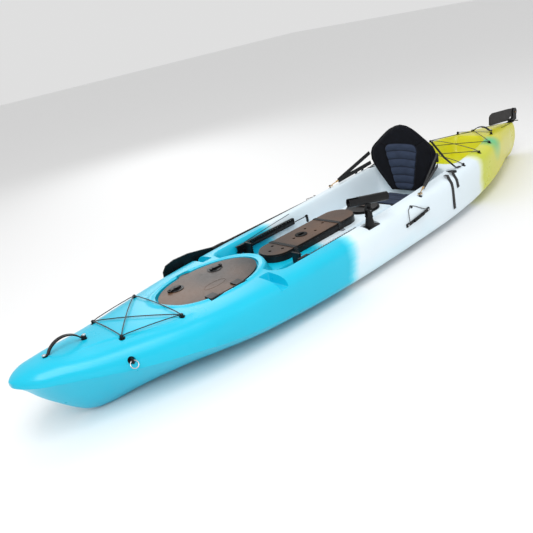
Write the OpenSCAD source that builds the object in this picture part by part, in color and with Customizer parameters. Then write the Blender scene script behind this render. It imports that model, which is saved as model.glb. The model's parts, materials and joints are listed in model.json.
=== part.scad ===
// Sit-on-top fishing kayak, as an assembly of its hull and all its fittings.
// X is port, Y runs from the bow to the stern, Z is up. The origin is on the keel, amidships.

/* [Hull] */
// Length over all
hull_l = 4300; // [3800:50:5200]
// Beam
hull_b = 800; // [660:10:960]
// Height of the foredeck above the keel
hull_h = 350; // [290:10:420]
// Wall of the hollow moulding
wall = 5; // [4:0.5:7]
// Width of the side decks beside the cockpit
rail_w = 98; // [80:2:120]
// Height of the footwell floor above the keel
floor_z = 130; // [110:5:150]

/* [Front hatch] */
// Distance of the hatch centre ahead of amidships
hatch_ahead = 1100; // [1000:10:1200]
// Length of the lid
lid_l = 580; // [480:10:700]
// Width of the lid
lid_w = 380; // [310:10:400]
// Thickness of the lid
lid_t = 9; // [6:1:12]

/* [Console] */
// Width of the flat top of the centre console
con_w = 280; // [270:2:300]
// Width of the tackle pod
pod_w = 210; // [170:2:220]
// Length of the tackle pod
pod_l = 730; // [600:5:730]
// Height of the tackle pod
pod_h = 46; // [30:2:60]
// Outer diameter of the round hatch frame
day_d = 216; // [180:2:230]

/* [Seat] */
// Width of the seat cushion
seat_w = 356; // [300:2:400]
// Depth of the seat cushion
seat_d = 250; // [200:5:260]
// Thickness of the seat cushion
seat_t = 50; // [35:1:60]
// Height of the backrest above the cushion
back_h = 478; // [380:2:500]
// Thickness of the backrest
back_t = 44; // [30:1:50]

/* [Foot rails] */
// Length of each foot rail
foot_rail_l = 480; // [380:5:520]
// Height of the rail profile
foot_rail_h = 40; // [30:1:44]

/* [Rod holders] */
// Bore of the flush rod holders
flush_bore = 41; // [38:1:44]
// Bore of the swivelling rod cradle
cradle_bore = 42; // [38:1:46]
// Length of the rod cradle
cradle_l = 240; // [200:5:260]

/* [Rudder] */
// Length of the rudder blade from its pivot to its tip
blade_l = 400; // [320:10:420]
// Width of the rudder blade
blade_w = 92; // [70:2:100]

/* [Paddle] */
// Length of the paddle
paddle_l = 2200; // [2000:10:2400]
// Diameter of the paddle shaft
shaft_d = 29; // [26:1:32]

/* [Hidden] */
$fn = 40;

// Gap between pieces that move past each other
gap = 0.3;
// Radial clearance of a shaft in its bore
run = 0.05;
// Depth of the flat that is faced off under a deck fitting
face = 0.6;
// Radius of the shock cord
cord_r = 2.5;

// ---- Lines of the hull, drawn at the size in design and scaled to the size above ----
design = [800, 4300, 350];
kx = hull_b / design[0];
ky = hull_l / design[1];
kz = hull_h / design[2];
bow_y = -hull_l / 2;
stern_y = hull_l / 2;
bow_round = 110;
stern_round = 70;
keel_flat = 0.12;
shoulder = 0.94;

// Half breadth at the crease, by distance along Y
HALF = [[-2150, 85], [-2050, 115], [-1860, 186], [-1700, 238], [-1440, 316], [-1290, 346],
    [-1020, 376], [-640, 392], [0, 400], [400, 398], [800, 378], [1100, 338], [1325, 290],
    [1550, 226], [1800, 142], [2000, 76], [2150, 40]];
// Height of the crease
CREASE = [[-2150, 300], [-1994, 266], [-1860, 238], [-1700, 204], [-1440, 166], [-1290, 144],
    [-1020, 120], [-640, 100], [-200, 88], [400, 88], [900, 96], [1240, 104], [1550, 120],
    [1800, 140], [2150, 170]];
// Height of the keel
KEEL = [[-2150, 299], [-2106, 258], [-2060, 195], [-1994, 121], [-1941, 68], [-1895, 32],
    [-1830, 8], [-1750, 0], [1950, 0], [2040, 8], [2104, 34], [2150, 112]];
// Height of the deck crown
CROWN = [[-2150, 322], [-2110, 340], [-2050, 350], [-1979, 350], [-1880, 342], [-1800, 335],
    [-1684, 330], [-1500, 321], [-1400, 315], [-1290, 308], [-830, 302], [-520, 305], [-150, 310],
    [118, 317], [283, 324], [525, 333], [700, 337], [1325, 338], [1555, 332], [1700, 322],
    [1900, 302], [2050, 286], [2150, 271]];
// Fullness of the deck section
FULL = [[-2150, 2.4], [-1860, 2.6], [-1700, 2.8], [-1440, 3.6], [-1290, 5], [-1020, 7], [-640, 9],
    [600, 9], [1000, 9], [1325, 8], [1555, 6.5], [1800, 4.5], [2150, 3]];
// Fullness of the bottom section, across and then down
FLOOR = [[-2150, 1.2], [-1860, 1.2], [-1440, 1.5], [-1020, 2.1], [-400, 2.7], [400, 2.8],
    [1000, 2.4], [1500, 1.8], [2150, 1.6]];
BILGE = [[-2150, 1], [-1440, 1.1], [-1020, 1.6], [-400, 2], [400, 2], [1000, 1.7], [1500, 1.4],
    [2150, 1.3]];

function ease(t) = t <= 0 ? 0 : t >= 1 ? 1 : t * t * (3 - 2 * t);
function mix(a, b, t) = a + (b - a) * t;
function span(T, x, i = 0) = i >= len(T) - 2 || x < T[i + 1][0] ? i : span(T, x, i + 1);
function rise(T, i) = (T[i + 1][1] - T[i][1]) / (T[i + 1][0] - T[i][0]);
function slope(T, i) = i == 0 ? rise(T, 0) : i == len(T) - 1 ? rise(T, i - 1) :
    let (a = rise(T, i - 1), b = rise(T, i)) a * b <= 0 ? 0 : 2 * a * b / (a + b);
// Smooth curve through the points of T, which never runs past them
function curve(T, x) =
    let (i = span(T, x), w = T[i + 1][0] - T[i][0], t = min(max((x - T[i][0]) / w, 0), 1),
        a = T[i][1], b = T[i + 1][1], m = slope(T, i) * w, n = slope(T, i + 1) * w)
    a + t * (m + t * (3 * (b - a) - 2 * m - n + t * (m + n - 2 * (b - a))));
function rounding(d, r) = d >= r ? 1 : sqrt(max(0, 1 - pow(1 - d / r, 2)));
function half(y) = kx * curve(HALF, y / ky) * rounding(y - bow_y, bow_round) *
    rounding(stern_y - y, stern_round);
function crease_z(y) = kz * curve(CREASE, y / ky);
function keel_z(y) = kz * curve(KEEL, y / ky);
function crown_z(y) = kz * curve(CROWN, y / ky);
// Height of the deck skin over the point x, y, before any well is sunk in it
function dome(x, y, h) =
    let (n = curve(FULL, y / ky), u = min(abs(x) / h, 1))
    crease_z(y) + (crown_z(y) - crease_z(y)) * pow(max(0, 1 - pow(u, n)), 1 / n);
// Distance of the outer skin from the centre plane, at the height z above the crease
function side_x(y, z) =
    let (n = curve(FULL, y / ky), v = (z - crease_z(y)) / (crown_z(y) - crease_z(y)))
    half(y) * pow(max(0, 1 - pow(v, n)), 1 / n);

// ---- Wells in the deck ----
side_wall = 60;
hatch_y = -hatch_ahead;
lid_a = lid_w / 2;
lid_b = lid_l / 2;
recess_gap = 12;
recess_depth = 20;
hatch_floor = crown_z(hatch_y) - recess_depth;
pedestal = 44;
ped_slope = 26;
cock_y0 = hatch_y + 220;
cock_y1 = 716;
cock_round = 80;
con_y1 = 292;
con_foot = 32;
console_drop = 78;
console_z = crown_z(0) - console_drop;
tank_y0 = 790;
tank_y1 = stern_y - 650;
tank_round = 70;
tank_drop = 120;
tank_z = crown_z((tank_y0 + tank_y1) / 2) - tank_drop;
notch_y = hatch_y + 172;
notch_w = 74;
notch_x = half(notch_y) - 138;
notch_z = crown_z(notch_y) - 52;

// Depth inside the edge of a rounded rectangle of half width w between y0 and y1
function inside(x, y, w, y0, y1, r) =
    let (a = r - (w - abs(x)), b = r - min(y - y0, y1 - y)) r - norm([max(a, 0), max(b, 0)]);
function ellipse_out(x, y, a, b) = (norm([x / a, (y - hatch_y) / b]) - 1) * min(a, b);
// Height of the deck with its wells, which are widened by grow and lowered by t for the inner skin
function deck(x, y, h, grow = 0, t = 0) =
    let (
        edge = max(half(y) - rail_w, 0.6 * half(y)) + grow,
        top = dome(x, y, h),
        in_cock = min(ease(inside(x, y, edge, cock_y0 - grow, cock_y1 + grow, cock_round) / side_wall),
            ease((ellipse_out(x, y, lid_a + pedestal - grow, lid_b + pedestal - grow)) / ped_slope)),
        in_con = min(ease((con_w / 2 + con_foot - grow - abs(x)) / con_foot),
            ease((con_y1 - grow - y) / 40)),
        in_tank = ease(inside(x, y, edge, tank_y0 - grow, tank_y1 + grow, tank_round) / side_wall),
        low = mix(mix(top, mix(floor_z, console_z, in_con), in_cock), tank_z, in_tank),
        in_hatch = grow > 0 && norm([x / (lid_a + 60), (y - hatch_y) / (lid_b + 60)]) < 1,
        in_notch = grow > 0 && abs(y - notch_y) < notch_w && abs(x) > notch_x - 30
    )
    min(low, in_hatch ? hatch_floor : low, in_notch ? notch_z : low) - t;

// ---- Skins of the hull ----
// Points of a list of breaks, with n equal steps in each interval
function steps(B, n) = [for (i = [0 : len(B) - 2]) for (j = [0 : n[i] - 1]) mix(B[i], B[i + 1], j / n[i]),
    B[len(B) - 1]];
function half_section(y, t, grow, nb, ns, nd) =
    let (h = half(y) - t, zc = crease_z(y), zk = keel_z(y) + t, p = curve(FLOOR, y / ky),
        q = curve(BILGE, y / ky),
        e = [shoulder * h, max(h - rail_w, 0.6 * h), max(h - rail_w - side_wall, 0.48 * h),
            min(con_w / 2 + con_foot, 0.44 * h), min(con_w / 2, 0.36 * h), 0])
    concat(
        [[0, y, zk]],
        [for (k = [0 : nb]) let (a = 90 * k / nb)
            [h * (keel_flat + (1 - keel_flat) * pow(sin(a), 2 / p)), y,
                zc - (zc - zk) * pow(cos(a), 2 / q)]],
        [for (k = [1 : ns]) let (x = h * (1 - (1 - shoulder) * pow(k / (ns + 1), 2)))
            [x, y, dome(x, y, h) - t]],
        [for (x = steps(e, nd)) [x, y, deck(x, y, h, grow, t)]]);
function full_section(S) = concat(S, [for (i = [len(S) - 2 : -1 : 1]) [-S[i][0], S[i][1], S[i][2]]]);
function stations(K, step) = steps(K, [for (i = [0 : len(K) - 2]) ceil((K[i + 1] - K[i]) / step)]);

module skin(Y, t, grow, nb, ns, nd) {
    rings = [for (y = Y) full_section(half_section(y, t, grow, nb, ns, nd))];
    m = len(rings[0]);
    last = len(Y) - 1;
    polyhedron(
        points = [for (r = rings) for (p = r) p],
        faces = concat(
            [[for (j = [m - 1 : -1 : 0]) j]],
            [[for (j = [0 : m - 1]) last * m + j]],
            [for (i = [0 : last - 1]) for (j = [0 : m - 1]) let (k = (j + 1) % m)
                [i * m + j, i * m + k, (i + 1) * m + k, (i + 1) * m + j]]),
        convexity = 12);
}

ped_y1 = hatch_y + lid_b + pedestal;
ped_end = ped_y1 + (lid_b + pedestal) * ped_slope / (lid_a + pedestal);
outer_y = stations([bow_y + 2, bow_y + 10, bow_y + 26, bow_y + 60, bow_y + 110, cock_y0,
    cock_y0 + side_wall,
    ped_y1 + 4, ped_end + 1, con_y1 - 40, con_y1, cock_y1 - side_wall, cock_y1 - side_wall / 2, cock_y1,
    tank_y0, tank_y0 + side_wall / 2, tank_y0 + side_wall, tank_y1 - side_wall, tank_y1 - side_wall / 2,
        tank_y1,
    stern_y - 70, stern_y - 30, stern_y - 10, stern_y - 2], 76);
inner_y = stations([bow_y + 70, cock_y0 - 20, cock_y0 + 40, ped_y1 - 16, ped_y1 + 20, con_y1 - 56,
    con_y1 - 16,
    cock_y1 - 40, cock_y1 + 20, tank_y0 - 20, tank_y0 + 40, tank_y1 - 40, tank_y1 + 20, stern_y - 70], 130);

// ---- Places of the fittings ----
function flat_z(x, y, r) = min([for (a = [-r, r]) for (b = [-r, r])
    dome(x + a, y + b, half(y + b))]) - face;
function flat_x(y, z, r, l = 0) = min([for (a = [-r - l, r + l]) for (b = [-r, r])
    side_x(y + a, z + b)]) - face;
function side_pair(x) = [x, -x];

bow_handle_y = [bow_y + 171, bow_y + 351];
stern_handle_y = stern_y - 488;
stern_handle_x = 74;
cord_rear_y = hatch_y - lid_b - recess_gap - 16;
cord_front_y = mix(bow_handle_y[1], cord_rear_y, 0.29);
cord_front_x = 137;
cord_rear_x = 212;
padeye_y = 264;
padeye_x = half(padeye_y) - 40;
clip_y = 132;
clip_z = 286 * kz;
flush_y = 682;
flush_x = half(flush_y) - 66;
tank_pairs = [[half(800) - 46, 812], [half(1085) - 46, 1085], [half(1325) - 48, 1325], [138, tank_y1 + 50]];
rod_y = -200;
rod_x = half(rod_y) - 58;
eye_y = bow_y + 434;
eye_z = 252 * kz;
side_y = [58, 268];
side_z = [204 * kz, 226 * kz];

bow_deck_fits = [[cord_front_x, cord_front_y], [cord_rear_x, cord_rear_y]];
fit_r = 14;

module mirrored() {
    children();
    mirror([1, 0, 0]) children();
}
module between(a, b) {
    v = b - a;
    translate(a) rotate([0, acos(v[2] / norm(v)), atan2(v[1], v[0])]) children();
}
module rod(a, b, r) { between(a, b) cylinder(h = norm(b - a), r = r); }
// Slot outline with round ends, along Y
module slot(l, w, h) {
    translate([-w / 2, -(l - w) / 2, 0]) cube([w, l - w, h]);
    for (s = [-1, 1]) translate([0, s * (l - w) / 2, 0]) cylinder(h = h, r = w / 2);
}
module ellipse(a, b, h, n = 64) { linear_extrude(h)
    polygon([for (i = [0 : n - 1]) [a * cos(360 * i / n), b * sin(360 * i / n)]]); }

// Closed tube along the points of path
function unit(v) = v / norm(v);
function bend(P, n) = [for (i = [0 : len(P) - 2]) for (j = [0 : n - 1])
    let (t = j / n, a = P[i], b = P[i + 1], m = (b - P[max(i - 1, 0)]) / 2,
        k = (P[min(i + 2, len(P) - 1)] - a) / 2)
    a + t * (m + t * (3 * (b - a) - 2 * m - k + t * (m + k - 2 * (b - a)))), P[len(P) - 1]];
module tube(path, r, ref = [0, 0, 1], sides = 8) {
    n = len(path);
    polyhedron(
        points = [for (i = [0 : n - 1])
            let (t = unit(path[min(i + 1, n - 1)] - path[max(i - 1, 0)]), s = unit(cross(ref, t)),
                u = cross(t, s))
            for (k = [0 : sides - 1]) path[i] + r * (cos(360 * k / sides) * s + sin(360 * k / sides) * u)],
        faces = concat(
            [[for (k = [0 : sides - 1]) k]],
            [[for (k = [sides - 1 : -1 : 0]) (n - 1) * sides + k]],
            [for (i = [0 : n - 2]) for (k = [0 : sides - 1]) let (j = (k + 1) % sides)
                [i * sides + k, (i + 1) * sides + k, (i + 1) * sides + j, i * sides + j]]));
}

// ---- Cutters that face off the skin under the fittings ----
module facing(x, y, r, l = 0) {
    hull() for (s = [-1, 1]) translate([x, y + s * l / 2, flat_z(x, y, r)])
        cylinder(h = 40, r = r + 1, $fn = 16);
}
module side_facing(y, z, r, l = 0, dz = 0) {
    x = flat_x(y, z, r);
    hull() for (s = [-1, 1]) translate([x, y + s * l / 2, z + s * dz / 2]) rotate([0, 90, 0])
        cylinder(h = 60, r = r + 1, $fn = 16);
}
module notch_cut() {
    hull() {
        translate([notch_x, notch_y - notch_w / 2 + 12, notch_z]) cube([200, notch_w - 24, 1]);
        translate([notch_x - 16, notch_y - notch_w / 2, notch_z + 70]) cube([216, notch_w, 1]);
    }
}

module hull_cuts() {
    mirrored() {
        notch_cut();
        for (p = bow_deck_fits) facing(p[0], p[1], fit_r);
        for (p = tank_pairs) facing(p[0], p[1], fit_r);
        facing(padeye_x, padeye_y, fit_r);
        facing(stern_handle_x, stern_handle_y, fit_r);
        side_facing(eye_y, eye_z, 16);
        translate([flush_x, flush_y, floor_z]) cylinder(h = 400, r = flush_bore / 2 + 2 + gap, $fn = 32);
        facing(flush_x, flush_y, 34);
        side_handle_cut();
        keeper_cut();
        rail_cut();
    }
    for (y = bow_handle_y) facing(0, y, 14);
    translate([rod_x - 33, rod_y - 51, rod_seat_z]) cube([120, 102, 60]);
    rudder_cut();
    drain_cut();
    hatch_cut();
    translate([0, day_y, console_z - 60]) cylinder(h = 100, r = day_d / 2 - 22, $fn = 40);
}

// ---- Front hatch ----
rim_t = 6;
seal_t = 3;
lid_z = hatch_floor + rim_t + seal_t + gap;
lid_top = lid_z + lid_t;
collar_a = lid_a - 34;
collar_b = lid_b - 34;
lobe = [-lid_a + 22, hatch_y - 18];
lobe_r = 48;
hinge_x = lid_a + 10;
hinge_z = lid_z + 6;
pin_r = 3;
ear_y = [-76, 11];
ear_l = 20;
knuckle_y = [-113, 48];
knuckle_l = 50;
latch_at = [[-88, hatch_y - 145], [-88, hatch_y + 108]];
latch_shaft_r = 5;
cup_r = 40;

module at_hatch(z) { translate([0, hatch_y, z]) children(); }
module hatch_cut() {
    at_hatch(hatch_floor) {
        ellipse(lid_a + recess_gap, lid_b + recess_gap, 90);
        translate([lid_a - 40, -146, 0]) cube([hinge_x + 14 - lid_a + 40, 230, 90]);
    }
    translate([lobe[0], lobe[1], hatch_floor]) cylinder(h = 90, r = lobe_r + 8);
    at_hatch(hatch_floor - 60) ellipse(collar_a, collar_b, 100);
}
module hatch_rim() {
    color("#232528") at_hatch(hatch_floor) difference() {
        union() {
            ellipse(lid_a - 6, lid_b - 6, rim_t);
            translate([0, 0, -24]) ellipse(collar_a - gap, collar_b - gap, 24 + rim_t);
        }
        translate([0, 0, -30]) ellipse(collar_a - 4, collar_b - 4, 60);
    }
}
module hatch_seal() {
    color("#101112") at_hatch(hatch_floor + rim_t) difference() {
        ellipse(lid_a - 14, lid_b - 14, seal_t);
        translate([0, 0, -1]) ellipse(lid_a - 24, lid_b - 24, seal_t + 2);
    }
}
module hatch_hinge_ears() {
    color("#1b1c1e") for (y = ear_y) translate([hinge_x, hatch_y + y, 0]) difference() {
        union() {
            translate([-9, -ear_l / 2, hatch_floor]) cube([18, ear_l, hinge_z - hatch_floor]);
            translate([0, ear_l / 2, hinge_z]) rotate([90, 0, 0]) cylinder(h = ear_l, r = 9);
        }
        translate([0, ear_l, hinge_z]) rotate([90, 0, 0]) cylinder(h = 2 * ear_l, r = pin_r + run);
    }
}
module hatch_hinge_pin() {
    color("#7d7f80") translate([hinge_x, hatch_y + knuckle_y[1] + knuckle_l / 2 + 5, hinge_z])
        rotate([90, 0, 0]) cylinder(h = knuckle_y[1] - knuckle_y[0] + knuckle_l + 10, r = pin_r);
}
module hatch_lid() {
    color("#4a443f") difference() {
        union() {
            at_hatch(lid_z) ellipse(lid_a, lid_b, lid_t);
            translate([lobe[0], lobe[1], lid_z]) cylinder(h = lid_t - 3, r = lobe_r);
        }
        for (p = latch_at) translate([p[0], p[1], lid_z - 5])
            cylinder(h = lid_t + 10, r = latch_shaft_r + run);
    }
}
module hatch_lid_knuckles() {
    color("#2a2825") for (y = knuckle_y) translate([hinge_x, hatch_y + y, 0]) difference() {
        union() {
            translate([0, knuckle_l / 2, hinge_z]) rotate([90, 0, 0]) cylinder(h = knuckle_l, r = 8.5);
            translate([-52, -knuckle_l / 2, lid_top]) cube([52, knuckle_l, 7]);
        }
        translate([0, knuckle_l, hinge_z]) rotate([90, 0, 0]) cylinder(h = 2 * knuckle_l, r = pin_r + run);
    }
}
module latch_cups() {
    color("#1a1a1b") for (p = latch_at) translate([p[0], p[1], lid_top]) difference() {
        cylinder(h = 2.5, r = cup_r);
        translate([0, 0, -1]) cylinder(h = 5, r = latch_shaft_r + 1);
    }
}
// Quarter-turn lever with its shaft and cam; end is +1 when its loop points aft
module latch_lever(p, end) {
    color("#161617") translate([p[0], p[1], 0]) {
        translate([0, 0, lid_top + 3]) {
            difference() {
                union() {
                    translate([-9, end > 0 ? -26 : -32, 0]) cube([18, 58, 7]);
                    translate([0, end * 38, 0]) cylinder(h = 7, r = 13);
                    cylinder(h = 10, r = 13);
                }
                translate([0, end * 38, -1]) cylinder(h = 9, r = 7.5);
            }
        }
        translate([0, 0, hatch_floor - 34]) {
            cylinder(h = lid_top + 4 - hatch_floor + 34, r = latch_shaft_r);
            translate([-28, -8, 0]) cube([36, 16, 6]);
        }
    }
}
module latch_lever_front() { latch_lever(latch_at[0], -1); }
module latch_lever_rear() { latch_lever(latch_at[1], 1); }

// ---- Round hatch on the console ----
day_y = 150;
day_r = day_d / 2;
module day_hatch_frame() {
    color("#26272a") translate([0, day_y, console_z]) difference() {
        union() {
            cylinder(h = rim_t, r = day_r);
            translate([0, 0, -18]) cylinder(h = 18 + rim_t, r = day_r - 22 - gap);
        }
        translate([0, 0, -20]) cylinder(h = 40, r = day_r - 26);
    }
}
module day_hatch_seal() {
    color("#0f1011") translate([0, day_y, console_z + rim_t + seal_t / 2])
        rotate_extrude() translate([day_r - 14, 0]) circle(r = seal_t / 2);
}
module day_hatch_lid() {
    color("#4b443f") translate([0, day_y, console_z + rim_t + seal_t + gap]) {
        cylinder(h = 6, r = day_r - 6);
        translate([-60, -9, 6]) cube([120, 18, 9]);
    }
}

// ---- Carrying handles ----
handle_w = 20;
handle_t = 6;
cap_r = 13;
// Arched strap between the points a and b, whose feet are faced flat
module arch(l, rise, w, t) {
    r = (l * l / 4 + rise * rise) / (2 * rise);
    intersection() {
        translate([0, w / 2, rise - r]) rotate([90, 0, 0]) difference() {
            cylinder(h = w, r = r, $fn = 90);
            translate([0, 0, -1]) cylinder(h = w + 2, r = r - t, $fn = 90);
        }
        translate([-l, -w, 0]) cube([2 * l, 2 * w, rise + 1]);
    }
}
module handle_feet(l) { for (s = [-1, 1]) translate([s * l / 2, 0, 0]) cylinder(h = 4, r = 12); }
bow_handle_z = [flat_z(0, bow_handle_y[0], 14), flat_z(0, bow_handle_y[1], 14)];
bow_handle_mid = (bow_handle_y[0] + bow_handle_y[1]) / 2;
bow_handle_rise = 46;
module bow_handle() {
    l = bow_handle_y[1] - bow_handle_y[0];
    color("#17181a") {
        translate([0, bow_handle_mid, max(bow_handle_z) + 4]) rotate([0, 0, 90])
            arch(l - 20, bow_handle_rise, handle_w, handle_t);
        for (i = [0, 1]) translate([0, bow_handle_y[i], bow_handle_z[i]])
            cylinder(h = max(bow_handle_z) - bow_handle_z[i] + 6, r = 12);
    }
}
stern_handle_z = flat_z(stern_handle_x, stern_handle_y, fit_r);
module stern_handle() {
    color("#17181a") translate([0, stern_handle_y, stern_handle_z]) {
        translate([0, 0, 8]) arch(2 * stern_handle_x - 14, 30, handle_w, handle_t);
        for (s = [-1, 1]) translate([s * stern_handle_x, 0, 0]) cylinder(h = 10, r = 12);
    }
}
module cap() {
    cylinder(h = 4, r = 9);
    translate([0, 0, 4]) cylinder(h = 2, r1 = 9, r2 = 6);
}
module handle_caps() {
    color("#b9bcbf") {
        for (i = [0, 1]) translate([0, bow_handle_y[i] + (i * 2 - 1) * 4, max(bow_handle_z) + 6]) cap();
        for (s = [-1, 1]) translate([s * (stern_handle_x + 2), stern_handle_y, stern_handle_z + 10]) cap();
    }
}

// ---- Bow eyes with their rings ----
eye_x = flat_x(eye_y, eye_z, 16);
ring_r = 18;
wire_r = 2.5;
ring_lean = 38;
// Height of the bore of the eye above its seat
eye_bore = 17;
module eye() {
    rotate([0, 90, 0]) {
        cylinder(h = 4, r = 15);
        difference() {
            translate([-12, -4, 3]) cube([24, 8, eye_bore + 6]);
            translate([0, 20, eye_bore]) rotate([90, 0, 0]) cylinder(h = 40, r = wire_r + 2.2);
        }
    }
}
module bow_eyes() { color("#2b2c2e") mirrored() translate([eye_x, eye_y, eye_z]) eye(); }
// Ring that hangs through the eye, clear of the post all round
module bow_ring(side) {
    color("#c9ccd0") translate([side * (eye_x + eye_bore), eye_y, eye_z]) rotate([0, -side * ring_lean, 0])
        translate([0, 0, -ring_r]) rotate([0, 90, 0]) rotate_extrude() translate([ring_r, 0])
            circle(r = wire_r, $fn = 24);
}
module bow_ring_port() { bow_ring(1); }
module bow_ring_starboard() { bow_ring(-1); }

// ---- Deck fittings for shock cord ----
post_r = 8;
post_h = 22;
cord_up = 17;
module cord_post() {
    cylinder(h = 3, r = fit_r - 1);
    cylinder(h = post_h - 3, r = post_r);
    translate([0, 0, post_h - 3]) cylinder(h = 3, r1 = post_r, r2 = post_r - 3);
}
module on_deck(p, turn = 0) { translate([p[0], p[1], flat_z(p[0], p[1], fit_r)]) rotate([0, 0, turn])
    children(); }
function cord_point(p, s = 1) = [s * p[0], p[1], flat_z(p[0], p[1], fit_r) + cord_up];
// Cord from post to post, ending against them, with its middle lifted by up
module cord_run(a, b, up = 0) {
    t = (post_r + 0.4) / norm(b - a);
    tube([mix(a, b, t), mix(a, b, 0.1) + [0, 0, 0.5 * up], mix(a, b, 0.3) + [0, 0, 0.85 * up],
        mix(a, b, 0.5) + [0, 0, up],
        mix(a, b, 0.7) + [0, 0, 0.85 * up], mix(a, b, 0.9) + [0, 0, 0.5 * up], mix(a, b, 1 - t)], cord_r);
}
module bow_cord_fittings() { color("#202124") mirrored() for (p = bow_deck_fits) on_deck(p, 30)
    cord_post(); }
module bow_cord() {
    f = bow_deck_fits[0];
    r = bow_deck_fits[1];
    color("#1d1e20") {
        for (s = [-1, 1]) {
            cord_run(cord_point(f, s), cord_point(r, s), 4);
            cord_run(cord_point(f, s), cord_point(r, -s), s > 0 ? 16 : 9);
        }
        cord_run(cord_point(f), cord_point(f, -1), 8);
        cord_run(cord_point(r), cord_point(r, -1), 12);
    }
}

// ---- Foot rails, pedals and their adjusters ----
rail_y0 = -700;
rail_y1 = rail_y0 + foot_rail_l;
rail_z = console_z + 27;
rail_back = half(rail_y0) - rail_w - 27;
rail_t = 18;
rail_in = rail_back - rail_t;
spacer_y = [rail_y0 + 70, rail_y1 - 60];
carriage_l = 70;
carriage_y0 = rail_y0 + 10;
toe_y = carriage_y0 + 35;
toe_z = floor_z + 70;
toe_w = 60;
toe_h = 100;
toe_pin_r = 4;
carriage_in = rail_in - gap - 8;
toe_x = carriage_in - 12 - toe_w;
adjust_r = 3;
adjust_x = carriage_in - 7;

// Distance of the cockpit wall from the centre plane at the height z
function wall_x(y, z) =
    let (f = (crown_z(y) - z) / (crown_z(y) - floor_z),
        t = f < 7 / 27 ? f * 9 / 7 : f < 20 / 27 ? 1 / 3 + (f - 7 / 27) * 9 / 13 : 2 / 3 + (f - 20 / 27) *
            9 / 7)
    half(y) - rail_w - side_wall * t;
function seat_x(y) = wall_x(y, rail_z + 9) + 2;
module rail_cut() { for (y = spacer_y) translate([rail_in, y, rail_z]) rotate([0, 90, 0])
    cylinder(h = seat_x(y) - rail_in, r = 10, $fn = 24); }

module foot_rail() {
    difference() {
        translate([rail_in, rail_y0, rail_z - foot_rail_h / 2]) cube([rail_t, foot_rail_l, foot_rail_h]);
        translate([rail_in + rail_t - 12, rail_y0 - 1, rail_z - foot_rail_h / 2 + 5])
            cube([20, foot_rail_l + 2, foot_rail_h - 10]);
    }
    for (y = spacer_y) translate([rail_in + 4, y, rail_z]) rotate([0, 90, 0])
        cylinder(h = seat_x(y) - rail_in - 4, r = 8);
}
module foot_rail_port() { color("#1a1b1d") foot_rail(); }
module foot_rail_starboard() { color("#1a1b1d") mirror([1, 0, 0]) foot_rail(); }

module pedal_carriage() {
    z0 = rail_z - foot_rail_h / 2 - gap;
    z1 = rail_z + foot_rail_h / 2 + gap;
    difference() {
        union() {
            translate([carriage_in, carriage_y0, z0 - 4]) cube([8, carriage_l, z1 - z0 + 8]);
            for (z = [z0 - 4, z1]) translate([carriage_in, carriage_y0, z])
                cube([8 + gap + 9, carriage_l, 4]);
            translate([carriage_in - 11, toe_y - 12, toe_z - 12]) cube([11, 24, rail_z - toe_z + 12]);
            translate([carriage_in - 12, carriage_y0 + carriage_l - 22, rail_z - 8]) cube([12, 22, 16]);
        }
        translate([adjust_x, carriage_y0 + carriage_l - 18, rail_z]) rotate([-90, 0, 0])
            cylinder(h = 60, r = adjust_r + run);
    }
    translate([toe_x, toe_y, toe_z]) rotate([0, 90, 0]) cylinder(h = toe_w + 12, r = toe_pin_r);
}
module pedal_carriage_port() { color("#202225") pedal_carriage(); }
module pedal_carriage_starboard() { color("#202225") mirror([1, 0, 0]) pedal_carriage(); }

module toe_pedal() {
    translate([toe_x, toe_y, toe_z]) difference() {
        union() {
            rotate([0, 90, 0]) cylinder(h = toe_w - 1, r = 9);
            translate([0, -5, 0]) cube([toe_w - 1, 10, toe_h]);
            for (k = [1 : 5]) translate([0, 5, 10 + 15 * k]) cube([toe_w - 1, 3, 5]);
        }
        translate([-1, 0, 0]) rotate([0, 90, 0]) cylinder(h = toe_w + 2, r = toe_pin_r + run);
    }
}
module toe_pedal_port() { color("#17181a") toe_pedal(); }
module toe_pedal_starboard() { color("#17181a") mirror([1, 0, 0]) toe_pedal(); }

// Twist rod that locks the carriage, with its paddle-shaped handle
module adjuster(end_y, turn) {
    y0 = carriage_y0 + carriage_l - 17;
    translate([adjust_x, y0, rail_z]) rotate([-90, 0, 0]) cylinder(h = end_y - y0, r = adjust_r);
    translate([adjust_x, end_y, rail_z]) rotate([0, turn, 0]) {
        translate([-8, 0, -34]) cube([16, 7, 28]);
        translate([0, 0, -34]) rotate([-90, 0, 0]) cylinder(h = 7, r = 8);
        translate([0, -6, 0]) rotate([-90, 0, 0]) cylinder(h = 13, r = 8);
    }
}
adjuster_end = [-250, -125];
module adjuster_port() { color("#1c1d1f") adjuster(adjuster_end[0], 0); }
module adjuster_starboard() { color("#1c1d1f") mirror([1, 0, 0]) adjuster(adjuster_end[1], 0); }

// ---- Tackle pod and its straps ----
pod_y1 = 10;
pod_y0 = max(pod_y1 - pod_l, ped_end + 8);
pod_top = console_z + gap + pod_h;
pod_skin = 4;
strap_w = 25;
strap_t = 2;
pod_strap_y = [-565, -190];
pod_holes = [[-42, -607], [42, -607], [0, -666], [0, -473], [-42, -335], [42, -335], [0, -225]];

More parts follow.
